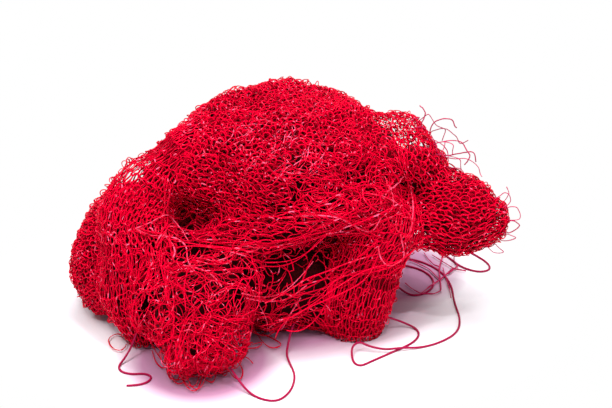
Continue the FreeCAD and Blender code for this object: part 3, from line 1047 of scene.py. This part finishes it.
def pull_net(heap, seed, spread, depth, inner):
    """Open loops of tape in the cells of the pulled folds, by fold, each with its flat area."""
    rng = np.random.default_rng(seed)
    points, normals, owners, along, size, stretch = net_places(heap, rng, spread, inner)
    each = (len(points), 1)
    tip = rng.normal(0, TIP_SPREAD, each)
    radii, turn = cell_radii(points, normals, along, size, stretch, tip)
    torn = torn_cells(points, owners, rng)
    areas = (radii**2).mean(1) * np.pi * stretch
    phase = rng.uniform(0, 2 * np.pi, (2, *each))
    oval, corners = LOOP_WOBBLES
    radii *= LOOP_SIZE + oval * np.sin(2 * turn + phase[0]) + corners * np.sin(3 * turn + phase[1])
    radii[:, [0, -1]] *= LEG_SHARE
    side = np.cross(normals, along)
    x = (radii * np.cos(turn) * stretch[:, None])[..., None]
    y = (radii * np.sin(turn))[..., None]
    rings = points[:, None] + x * along[:, None] + y * side[:, None]
    stand = fold_values(owners, 2)[:, None]
    lean = (LEAST_LEAN + stand) * np.cos(turn - tip - rng.normal(np.pi / 2, LEAN_SPREAD, each))
    deeper = np.where(owners == "frayed_bunch", BUNCH_DEEPER, 1.0)[:, None]
    rise = lean + rng.normal(0, stand, each) - depth * deeper
    rise[:, [0, -1]] -= LEG_DEPTH
    rings, ring_normals = heap.lay(rings, rise * MM)
    twist = rng.normal(0, TWIST_SPREAD, each) + TWIST_WAVE * np.sin(turn + phase[0])
    # The inner layer's lower tone is painted shade under the outer layer
    tone = random_tone(rng, SHADED_INNER_TONE if inner else OUTER_TONE, CELL_TONE_SPREAD, each)
    painted_glints = np.where(np.isin(owners, FEWER_GLINT_FOLDS), FEWER_GLINTS_SHARE, PAINTED_GLINT_SHARE)[:, None]
    # Some points take the pale tone as painted glints
    tone = np.where(rng.random(turn.shape) < painted_glints, PAINTED_GLINT_TONE, tone)
    nets = {}
    for name in PULLED_NET:
        own = (owners == name) & ~torn
        nets[name] = (rings[own], ring_normals[own], twist[own], tone[own], areas[own])
    return nets


# Knit: courses of loops round a fold

# Stitches deeper in the heap than this are left out
CREASE_DEPTH = 4.5 * MM

# Loops: rise of the tape over and under, points in a stitch, and places round a fold that give its girth
LOOP_RISE = 0.24 * MM
LOOP_SAMPLES = 12
GIRTH_SAMPLES = 40

# Courses have a multiple of COURSE_STEP stitches, or LEAST_STITCHES where that is more
COURSE_STEP = 4
LEAST_STITCHES = 6

# Stitches: sizes, shifts and leans as shares of a stitch, half height as a share of a course, spread of
# their rise in mm, and the stitches and mm over which the courses drift
STITCH_SIZES = (0.8, 1.2)
STITCH_SHIFT = 0.08
STITCH_LEAN = 0.2
STITCH_HIGH = 0.62
STITCH_RISES = 0.1
DRIFT_STITCHES = 8
DRIFT_HEIGHT = 13

# Twist of the knitted tape in radians: its wave, the starts of the wave and its spread
KNIT_TWIST = 0.5
KNIT_TWIST_STARTS = (0, 6.28)
KNIT_TWIST_SPREAD = 0.35


def depth_inside(tree, points):
    """How deep each point is under a closed surface; negative outside."""
    depths = np.empty(len(points))
    for i, p in enumerate(points):
        place, normal, _, far = tree.find_nearest(p)
        depths[i] = -far if (Vector(p) - place).dot(normal) > 0 else far
    return depths


def kept_stitches(name, skin, heap, count, v_row, inner, rng):
    """Which stitches of a course are made: not those on the table, deep in the heap or off a thin ridge."""
    centres, facing = skin.at((np.arange(count) + 0.5) / count, np.full(count, v_row))
    keep = centres[:, 2] > FOOT_CLEARANCE
    if name in THIN_RIDGES:
        gone = rng.random(count)
        bare = np.where(faces_away(facing), inner | (gone < RIDGE_OPEN), inner & (gone < RIDGE_WORN))
        keep &= ~(on_thin_ridge(name, centres) & bare)
    keep[keep] = depth_inside(heap.tree, centres[keep]) < CREASE_DEPTH
    return keep


def knit(name, skin, heap, seed, inset, spread, inner):
    """Runs of tape for the courses of a fold, and the flat area of their stitches."""
    rng = np.random.default_rng(seed)
    wide, high, wander = KNIT[name]
    wide, high = wide * spread * MM, high * spread * MM
    length = skin.along_speed.mean()
    round_it = np.linspace(0, 1, GIRTH_SAMPLES)
    painted_glints = FEWER_GLINTS_SHARE if name in FEWER_GLINT_FOLDS else PAINTED_GLINT_SHARE
    runs = []
    kept = 0
    for course in np.arange(high, length - high / 2, high):
        v_row = course / length
        around = skin.blend(skin.round_speed, round_it, np.full(GIRTH_SAMPLES, v_row)).mean()
        count = max(LEAST_STITCHES, int(round(around / wide / COURSE_STEP)) * COURSE_STEP)
        t = np.arange(count * LOOP_SAMPLES) / LOOP_SAMPLES
        stitch = t.astype(int)
        turn = 2 * np.pi * t
        size = rng.uniform(*STITCH_SIZES, count)[stitch]
        shift = rng.normal(0, STITCH_SHIFT, count)[stitch]
        places = [(x / DRIFT_STITCHES, course / MM / DRIFT_HEIGHT, seed) for x in range(count)]
        drift = wander * smooth_vectors(places)[stitch]
        u = (t + shift + STITCH_LEAN * np.sin(2 * turn) + drift[:, 0]) / count
        v = v_row + (-STITCH_HIGH * np.cos(turn) * size + drift[:, 1] * wide / high) * high / length
        points, normals = heap.settle(*skin.at(u, v))
        rise = np.cos(2 * turn) * LOOP_RISE + rng.normal(0, STITCH_RISES, count)[stitch] * MM - inset
        points = points + normals * rise[:, None]
        keep = kept_stitches(name, skin, heap, count, v_row, inner, rng)
        kept += keep.sum()
        # The inner layer's lower tone is painted shade under the outer layer
        tone = random_tone(rng, SHADED_INNER_TONE if inner else OUTER_TONE, TONE_SPREAD)
        # Some points take the pale tone as painted glints
        tone = np.where(rng.random(len(t)) < painted_glints, PAINTED_GLINT_TONE, tone)
        twist = KNIT_TWIST * np.sin(np.pi * t + rng.uniform(*KNIT_TWIST_STARTS))
        twist = twist + rng.normal(0, KNIT_TWIST_SPREAD, count)[stitch]
        edges = np.flatnonzero(np.diff(np.concatenate([[0], keep.astype(int), [0]])))
        for a, b in zip(edges[::2], edges[1::2]):
            part = slice(a * LOOP_SAMPLES, b * LOOP_SAMPLES)
            runs.append((points[part], normals[part], twist[part], tone[part]))
    return runs, kept * wide * high


# Loose strands

# Tones of strands, and how their tape twists: spread at each point and starts, in radians
STRAND_TONE = 0.4
ROPE_TONE = 0.55
SNAG_TONE = 0.5
STRAND_TWIST = 0.11
STRAND_TWIST_STARTS = (0, 3)

# Crawling: step, shares of the length, fewest steps, where it stops, steps between new bends, and the
# share of the way to the new bend that a step takes
CRAWL_STEP = 0.6 * MM
CRAWL_LENGTHS = (0.5, 1.6)
CRAWL_LEAST = 10
CRAWL_FLOOR = 0.5 * MM
CRAWL_END = FLAP_BEND_START[0] + 4 * MM
BEND_STEPS = 9
BEND_SHARE = 0.25

# Crawled strands: fewest points, bows as shares of the lift with their wave, depth of the ends in mm, and
# the crimp that is left from the knit
LEAST_POINTS = 8
BOWS = (-0.8, 1.2)
BOW_WAVE = 0.5
BOW_WAVES = (3, 12)
BOW_STARTS = (0, 6)
END_DEPTH = 0.3
CRIMP = 0.42 * MM
CRIMP_LENGTH = 5.0 * MM
CRIMP_START = 9
CRIMP_SHARES = (0.2, 1.3)

# Strands across: stray of each point and passes that ease it, limit of the points cut off an end, lifts in
# mm, and the least lift once they are eased
STRAY = 1.3 * MM
STRAY_PASSES = 30
END_CUT = 14
ACROSS_LIFTS = (0.2, 0.9)
ACROSS_LEAST = 0.2 * MM

# Ropes: turns of a strand, its sway in radians and waves, swell as shares of the radius, and flatness
ROPE_TURNS = (0.8, 1.6)
ROPE_SWAY = 0.6
ROPE_SWAY_WAVES = (4, 9)
ROPE_SWELL = (0.8, 0.5)
ROPE_SWELL_SHARES = (0.3, 1.3)
ROPE_FLATNESS = 1.5

# Frays: stray of their points, and the way that their tape faces
FRAY_STRAY = 0.3 * MM
FRAY_FACING = (0, -1.0, 0.3)

# Snags: places to pick from for each, least height, points of a loop, how far its feet turn under in
# radians, how far it leans, and half widths and heights in mm
SNAG_PICKS = 8
SNAG_FLOOR = 3 * MM
SNAG_POINTS = 9
SNAG_FEET = 0.2
SNAG_LEAN = 0.8
SNAG_WIDE = (0.5, 1.2)
SNAG_HIGH = (0.4, 1.7)


def ease(points, passes=3):
    for _ in range(passes):
        points = points.copy()
        points[1:-1] = (points[:-2] + 2 * points[1:-1] + points[2:]) / 4
    return points


def strand_run(points, normals, rng, tone):
    """A run of tape that twists at random, with painted glints."""
    twist = np.cumsum(rng.normal(0, STRAND_TWIST, len(points))) + rng.uniform(*STRAND_TWIST_STARTS)
    tones = np.full(len(points), random_tone(rng, tone, TONE_SPREAD))
    tones[rng.random(len(points)) < PAINTED_GLINT_SHARE] = PAINTED_GLINT_TONE
    return points, normals, twist, tones


def places_in(heap, box, number, rng):
    """Places on the heap that are seen in a box of the photograph's pixels."""
    eye = camera_place()
    places = []
    for pixel in rng.uniform(box[:2], box[2:], (4 * number, 2)):
        place = heap.tree.ray_cast(eye, pixel_ray(pixel))[0]
        if place is not None and len(places) < number:
            places.append(place)
    return places


def crawl(heap, start, heading, length, bend, rng):
    """Points and normals of a line that crawls over the heap and turns at random."""
    place, way = Vector(start), Vector(heading)
    curl, goal = 0.0, 0.0
    track = []
    for i in range(max(CRAWL_LEAST, int(length * rng.uniform(*CRAWL_LENGTHS) * MM / CRAWL_STEP))):
        place, normal, _, _ = heap.tree.find_nearest(place)
        if place.z < CRAWL_FLOOR or place.x > CRAWL_END:
            break
        track.append((*place, *normal))
        if i % BEND_STEPS == 0:
            goal = rng.normal(0, bend)
        curl += BEND_SHARE * (goal - curl)
        way = (way - normal * way.dot(normal)).normalized()
        way = way * math.cos(curl) + normal.cross(way) * math.sin(curl)
        place = place + way * CRAWL_STEP
    track = np.array(track).reshape(-1, 6)
    return track[:, :3], track[:, 3:]


def loose_strands(heap, seed, box, number, length, bend, heading, spread, lift, tone):
    """Strands that crawl over the heap; their ends go under the net."""
    rng = np.random.default_rng(seed)
    runs = []
    for start in places_in(heap, box, number, rng):
        way = unit(np.array(heading, float) + rng.normal(0, spread, 3))
        points, normals = crawl(heap, start, way, length, bend, rng)
        if len(points) < LEAST_POINTS:
            continue
        s = np.linspace(0, 1, len(points))
        bow = rng.uniform(*BOWS) + BOW_WAVE * np.sin(rng.uniform(*BOW_WAVES) * s + rng.uniform(*BOW_STARTS))
        rise = np.sqrt(np.sin(np.pi * s)) * bow * lift - END_DEPTH
        side = unit(np.cross(normals, np.gradient(points, axis=0)))
        turn = 2 * np.pi * np.arange(len(points)) * CRAWL_STEP / CRIMP_LENGTH
        crimp = CRIMP * np.sin(turn + CRIMP_START * bow[0])
        line = ease(points + normals * rise[:, None] * MM, 4)
        line += side * (crimp * rng.uniform(*CRIMP_SHARES) * np.minimum(1, lift))[:, None]
        runs.append(strand_run(line, normals, rng, tone))
    return runs


def strands_across(heap, seed, number, route, spread, samples=52):
    """Strands along one route, each off it by a random spread, laid over the heap."""
    rng = np.random.default_rng(seed)
    runs = []
    for _ in range(number):
        off = rng.normal(0, 1, (len(route), 3)) * np.asarray(spread)
        line = smooth_through((np.asarray(route, float) + off) * MM, samples)
        line += ease(rng.normal(0, STRAY, line.shape), STRAY_PASSES)
        line = line[rng.integers(0, END_CUT):samples - rng.integers(0, END_CUT)]
        laid, _ = heap.lay_clear(line, rng.uniform(*ACROSS_LIFTS) * MM)
        laid, normals = heap.lay_clear(ease(laid), ACROSS_LEAST)
        runs.append(strand_run(ease(laid, 1), normals, rng, STRAND_TONE))
    return runs


def traced_line(heap, pixels, lift, samples, angular=False):
    """A line through pixels of the photograph, on what is behind them: the heap or the table."""
    eye = camera_place()
    places = []
    for pixel in (corner_through if angular else smooth_through)(pixels, samples):
        ray = pixel_ray(pixel)
        place, normal, _, _ = heap.tree.ray_cast(eye, ray)
        if place is None:
            place = eye - ray * (eye.z - FLOOR_GAP) / ray.z
            normal = Vector((0, 0, 1))
        places.append(place + normal * lift * MM)
    line, normals = heap.lay_clear(ease(np.array(places), 1 if angular else 10), lift * MM)
    return ease(line, 2), normals


def traced_strands(heap, seed, traces, lift, tone, angular=False, samples=44):
    """Strands through pixels of the photograph, with straight stretches where they are angular."""
    rng = np.random.default_rng(seed)
    lines = [traced_line(heap, pixels, lift, samples, angular) for pixels in traces]
    return [strand_run(*line, rng, tone) for line in lines]


def ropes(heap, seed, samples=44):
    """Bundles of strands that twist round each other on the heap."""
    rng = np.random.default_rng(seed)
    s = np.linspace(0, 1, samples)
    thin, thicker = ROPE_SWELL
    runs = []
    for number, radius, pixels in ROPES:
        line, normals = traced_line(heap, pixels, radius, samples)
        side = unit(np.cross(normals, np.gradient(line, axis=0)))
        for i in range(number):
            angle = 2 * np.pi * (i / number + rng.uniform(*ROPE_TURNS) * s)
            angle = angle + ROPE_SWAY * np.sin(rng.uniform(*ROPE_SWAY_WAVES) * s)
            swell = radius * MM * (thin + thicker * np.sin(np.pi * s) * rng.uniform(*ROPE_SWELL_SHARES))
            off = side * (np.cos(angle) * swell * ROPE_FLATNESS)[:, None]
            off = off + normals * (np.sin(angle) * swell)[:, None]
            runs.append(strand_run(line + off, normals, rng, ROPE_TONE))
    return runs


def frays(seed, routes, samples=24):
    """Strands along routes off the heap, loose but for their first points."""
    rng = np.random.default_rng(seed)
    runs = []
    for route in routes:
        line = smooth_through(np.asarray(route, float) * MM, samples)
        line[2:] += ease(rng.normal(0, FRAY_STRAY, line[2:].shape), 4)
        runs.append(strand_run(line, np.tile(FRAY_FACING, (samples, 1)), rng, STRAND_TONE))
    return runs


def snags(heap, seed, number, least, most):
    """Small loops that stand off the net with both feet in it."""
    rng = np.random.default_rng(seed)
    points, normals = heap.scatter(SNAG_PICKS * number, rng)
    keep = (points[:, 2] > SNAG_FLOOR) & (points[:, 0] > least * MM) & (points[:, 0] < most * MM)
    turn = np.linspace(-SNAG_FEET, np.pi + SNAG_FEET, SNAG_POINTS)[:, None]
    runs = []
    for point, normal in zip(points[keep][:number], normals[keep][:number]):
        along = unit(np.cross(normal, rng.normal(0, 1, 3)))
        out = unit(normal + SNAG_LEAN * rng.normal() * np.cross(normal, along))
        wide, high = rng.uniform(*SNAG_WIDE) * MM, rng.uniform(*SNAG_HIGH) * MM
        loop = point - np.cos(turn) * along * wide + np.sin(turn) * out * high
        facing = np.tile(np.cross(along, out), (SNAG_POINTS, 1))
        runs.append(strand_run(loop, facing, rng, SNAG_TONE))
    return runs


# Pieces

def dress(piece, material, body, slot, *nodes):
    """Gives a piece its material and body, and hides the imported solids that it stands for.

    A piece without a body, such as the flap's, gets no parent and has its place baked into its mesh.
    """
    piece.data.materials.append(material)
    if body:
        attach(piece, body)
    else:
        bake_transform(piece)
    if nodes:
        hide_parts(*nodes)
    return piece


def make_cord(node, material):
    length, far_end, route = STRANDS[node]
    route = np.array(route) * MM
    curve = bpy.data.curves.new(node + "_tape", "CURVE")
    curve.dimensions = "3D"
    spline = curve.splines.new("NURBS")
    spline.points.add(len(route) - 1)
    for point, place in zip(spline.points, route):
        point.co = (*place, 1)
    spline.order_u = 3
    spline.use_endpoint_u = True
    spline.resolution_u = 8
    curve.bevel_depth = STRAND_DIAMETER / 2
    curve.bevel_resolution = 2
    curve.use_fill_caps = True
    piece = bpy.data.objects.new(node + "_tape", curve)
    bpy.context.scene.collection.objects.link(piece)
    dress(piece, material, "heap", "strand", node)


# Cores: depth under the fold's surface and more of it for some, stations left out at the first and the
# last end, those of the darker material, and how much darker the others are where the net is open; both
# darkenings are painted shade
CORE_INSET = 2.2 * MM
CORE_DEEPER = {"frayed_bunch": 4.0 * MM}
CORE_SKIPS = {"left_front_fold": 4, "right_shoulder": 2}
CORE_TRIMS = {FLAP: 2, "frayed_bunch": 1}
DEEP_SHADE_CORES = ("frayed_bunch", "left_front_fold", "centre_fold", "stretched_strand_band", "flap_root")
OPEN_SHADE = 0.92

# Layers of net: seed, size of the cells or stitches, depth in mm, and whether it is the inner one
INNER_DEPTH = 0.7
PULLED_LAYERS = {"net": (10, 1.0, 0.0, False), "inner_net": (11, 1.15, INNER_DEPTH, True)}
KNIT_LAYERS = {"net": (100, 1.0, 0.0, False), "inner_net": (110, 1.2, INNER_DEPTH, True)}
CELLS_PER_PIECE = 2000

# First seeds of the loose strands, and their widths as shares of the tape's
TANGLE_SEED = 300
ACROSS_SEED = 400
ROPE_SEED = 500
FRAY_SEED = 600
SNAG_SEED = 700
ROPE_SHARE = 0.9
FRAY_SHARE = 0.85
SNAG_SHARE = 0.8

# Strands through pixels: pixels, seed, lift in mm, tone, width as a share of the tape's, and whether they
# are angular and of the table's tape
TRACES = {
    "traced_strands": (TRACED, 501, 0.7, 0.68, 1.2, False),
    "tassel_loops": (TASSELS, 502, 0.5, 0.6, 1.0, False),
    "under_flap_tangle": (UNDER_FLAP, 503, 0.4, 0.5, 1.25, True),
}


def make_core(name, packed):
    """The net packed under a fold's outer layers, as one crumpled closed form, dark as painted shade."""
    inset = CORE_INSET + CORE_DEEPER.get(name, 0.0)
    points, quads = Skin(name, inset, CORE_SKIPS.get(name, 0), CORE_TRIMS.get(name, 0)).quads()
    points = nudged(points)
    # Where the net is open, the core gets more painted shade
    shade = 0.0 if name in DEEP_SHADE_CORES else OPEN_SHADE
    core = fill_mesh(name + "_core", points, quads, 1 - shade * opened(points))
    dress(core, packed, None if name in (FLAP, *CORE_ONLY) else "heap", "net")


def make_pulled_net(heap, red):
    """The folds of pulled net: an outer layer that stands for the solids, and an inner one."""
    for layer, how in PULLED_LAYERS.items():
        for name, net in pull_net(heap, *how).items():
            if not len(net[0]):
                continue
            order = np.argsort(net[0][:, 0, 0])
            parts = np.array_split(order, max(1, math.ceil(len(order) / CELLS_PER_PIECE)))
            for i, part in enumerate(parts):
                loops, normals, twist, tone, areas = (a[part] for a in net)
                suffix = f"_{i + 1}" if len(parts) > 1 else ""
                wide = PULLED_NET[name][3] * MM
                piece = tape_mesh(f"{name}_{layer}{suffix}", list(zip(loops, normals, twist, tone)), wide)
                nodes = [name] if layer == "net" and i == 0 else []
                dress(piece, red, None if name == FLAP else "heap", "net", *nodes)


def make_knit(skins, heap, red):
    """The folds whose stitches are still in order, as two layers of loops."""
    for seed, name in enumerate(KNIT):
        for layer, (first, spread, depth, inner) in KNIT_LAYERS.items():
            runs, area = knit(name, skins[name], heap, first + seed, depth * MM, spread, inner)
            piece = tape_mesh(f"{name}_{layer}", runs, KNIT_WIDE)
            dress(piece, red, "heap", "net", *([] if inner else [name]))
            tape = sum(np.linalg.norm(np.diff(run[0], axis=0), axis=1).sum() for run in runs)
            tape *= math.hypot(KNIT_WIDE, TAPE_THICK)


def make_strands(name, runs, share, material, body, *nodes):
    """A piece of loose strands, whose width is a share of the tape's."""
    dress(tape_mesh(name, runs, TAPE_WIDE * share), material, body, "strand", *nodes)


def make_loose(heap, bright, table):
    """All strands that are loose: on the heap, across it, off its outline and on the table."""
    for seed, (piece, how) in enumerate(TANGLES.items(), TANGLE_SEED):
        *path, wide, tone = how
        make_strands(piece, loose_strands(heap, seed, *path, tone), wide, bright, "heap")
    for seed, (piece, (number, route, spread, node)) in enumerate(ACROSS.items(), ACROSS_SEED):
        runs = strands_across(heap, seed, number, route, spread)
        make_strands(piece, runs, 1.0, bright, "heap", *([node] if node else []))
    make_strands("rope_bundles", ropes(heap, ROPE_SEED), ROPE_SHARE, bright, "heap")
    for piece, (pixels, seed, lift, tone, wide, angular) in TRACES.items():
        runs = traced_strands(heap, seed, pixels, lift, tone, angular)
        make_strands(piece, runs, wide, table if angular else bright, "heap")
    for seed, (piece, (number, body, least, most)) in enumerate(SNAGS.items(), SNAG_SEED):
        make_strands(piece, snags(heap, seed, number, least, most), SNAG_SHARE, bright, body)
    for seed, (piece, (body, routes)) in enumerate(FRAYS.items(), FRAY_SEED):
        make_strands(piece, frays(seed, routes), FRAY_SHARE, table, body)


# Stage

# Ellipses on the table that the heap stands on: centre and half sizes in metres
FOOTPRINT = [
    ((-0.008, 0.010, 0.0), (0.042, 0.034, 1.0)),
    ((-0.024, -0.024, 0.0), (0.020, 0.024, 1.0)),
    ((0.025, 0.028, 0.0), (0.022, 0.022, 1.0)),
]


def footprint_distance(nodes):
    """Output that is 1 on the edge of the footprint, less inside it and more outside."""
    place = nodes.add("TexCoord").outputs["Object"]
    least = None
    for centre, half_sizes in FOOTPRINT:
        off = nodes.add("VectorMath", {0: place, 1: centre}, operation="SUBTRACT").outputs["Vector"]
        share = nodes.add("VectorMath", {0: off, 1: half_sizes}, operation="DIVIDE").outputs["Vector"]
        span = nodes.add("VectorMath", {0: share}, operation="LENGTH").outputs["Value"]
        least = span if least is None else nodes.math("MINIMUM", least, span)
    return least


def seen_rays(nodes):
    """Output that is 1 for what the camera, a reflection or a clear piece shows, and 0 for light."""
    rays = nodes.add("LightPath").outputs
    seen = rays["Is Camera Ray"]
    for kind in ("Is Glossy Ray", "Is Transmission Ray"):
        seen = nodes.math("ADD", seen, rays[kind], use_clamp=True)
    return seen


# Floor: radius in metres and its look. A colour's place is the footprint's distance times FLOOR_SPAN, and
# the floor fades out to white between the two distances FLOOR_FADE. The mauve near the heap is a painted
# shadow with painted red bounce light; the pale colour beyond is the floor's own
FLOOR_RADIUS = 1.2
FLOOR_SIDES = 96
FLOOR_ROUGHNESS = 0.9
FLOOR_SPECULAR = 0.05
FLOOR_SPAN = 0.5
FLOOR_SHADOW_RAMP = ((0.40, (0.50, 0.25, 0.40)), (0.60, (0.93, 0.91, 0.95)))
FLOOR_FADE = (1.1, 2.1)


def make_floor():
    """A pale floor with a painted shadow and painted red bounce light near the heap, that fades out to the
    white background.
    """
    bpy.ops.mesh.primitive_circle_add(vertices=FLOOR_SIDES, radius=FLOOR_RADIUS, fill_type="NGON")
    floor = bpy.context.object
    floor.name = "floor"
    material, nodes, shader = new_material("pale_floor")
    span = footprint_distance(nodes)
    colour = nodes.ramp(nodes.math("MULTIPLY", span, FLOOR_SPAN), FLOOR_SHADOW_RAMP)
    looks = {"Base Color": colour, "Roughness": FLOOR_ROUGHNESS, "Specular IOR Level": FLOOR_SPECULAR}
    nodes.feed(shader, looks)
    edges = {"Value": span, "From Min": FLOOR_FADE[0], "From Max": FLOOR_FADE[1]}
    fade = nodes.add("MapRange", edges, interpolation_type="SMOOTHSTEP").outputs["Result"]
    clear = nodes.add("BsdfTransparent").outputs["BSDF"]
    seen = nodes.math("MULTIPLY", fade, seen_rays(nodes))
    mix = nodes.add("MixShader", {"Fac": seen, 1: shader.outputs["BSDF"], 2: clear})
    nodes.finish(mix.outputs["Shader"])
    floor.data.materials.append(material)


# Light of the room, and soft lamps: place in metres, size in metres and power in watts
ROOM_COLOUR = (0.95, 0.92, 1.0, 1)
ROOM_STRENGTH = 0.22
SOFTBOXES = {
    "key_softbox": ((-0.18, -0.16, 0.48), 0.24, 1.3),
    "top_softbox": ((0.02, 0.05, 0.60), 0.36, 2.8),
    "right_softbox": ((0.30, -0.24, 0.22), 0.28, 0.45),
}

# Small lamps that make the tape glint: size and place in metres and power in watts
GLINT_SIZE = 0.02
GLINTS = [
    ((-0.22, -0.24, 0.40), 0.45),
    ((0.10, -0.20, 0.52), 0.50),
    ((-0.06, -0.34, 0.42), 0.40),
    ((0.26, -0.18, 0.40), 0.36),
]


def make_light():
    """White for what is seen, and soft light from lamps and the room for the object."""
    scene = bpy.context.scene
    scene.view_settings.view_transform = "Standard"
    world = bpy.data.worlds.new("studio")
    scene.world = world
    world.use_nodes = True
    nodes = Nodes(world.node_tree)
    room = world.node_tree.nodes["Background"]
    nodes.feed(room, {"Color": ROOM_COLOUR, "Strength": ROOM_STRENGTH})
    white = nodes.add("Background", {"Color": (1, 1, 1, 1), "Strength": 1.0})
    shaders = {1: room.outputs["Background"], 2: white.outputs["Background"]}
    mix = nodes.add("MixShader", {"Fac": seen_rays(nodes), **shaders})
    nodes.finish(mix.outputs["Shader"])
    for name, lamp in SOFTBOXES.items():
        add_lamp(name, *lamp)
    for i, (place, power) in enumerate(GLINTS):
        add_lamp(f"glint_{i + 1}", place, GLINT_SIZE, power)


def add_lamp(name, place, size, power):
    data = bpy.data.lights.new(name, "AREA")
    data.shape = "DISK"
    data.size = size
    data.energy = power
    lamp = bpy.data.objects.new(name, data)
    bpy.context.scene.collection.objects.link(lamp)
    lamp.location = place
    aim = Vector(TARGET) - lamp.location
    lamp.rotation_euler = aim.to_track_quat("-Z", "Y").to_euler()


# Deep, plain and pale colour and roughness of the tapes: the net's, that of strands on the heap, and that
# of the table's strands and the frays; the deep colour also paints the inner layer's shade, and the pale
# one paints glints. Then the red of packed net and of darker packed net, both darkened as painted shade
TAPES = {
    "red_tape": (((0.20, 0.0, 0.006), (0.76, 0.0, 0.026), (0.95, 0.11, 0.23)), 0.12),
    "loose_tape": (((0.26, 0.0, 0.008), (0.74, 0.0, 0.026), (0.95, 0.11, 0.23)), 0.12),
    "table_tape": (((0.36, 0.009, 0.060), (0.54, 0.022, 0.105), (0.75, 0.08, 0.19)), 0.3),
}
PACKED_SHADE_RED = 0.20
DEEP_SHADE_RED = 0.03


def main():
    make_camera()
    red, bright, table = (tape_material(name, *looks) for name, looks in TAPES.items())
    packed = core_material("packed_shaded_net", PACKED_SHADE_RED)
    deep = core_material("deep_shade_net", DEEP_SHADE_RED)
    for node in STRANDS:
        make_cord(node, table)
    skins = {name: Skin(name) for name in FOLDS}
    heap = Heap(skins)
    make_pulled_net(heap, red)
    make_knit(skins, heap, red)
    for name in (*FOLDS, *CORE_ONLY):
        make_core(name, deep if name in DEEP_SHADE_CORES else packed)
    make_loose(heap, bright, table)
    make_floor()
    make_light()


main()
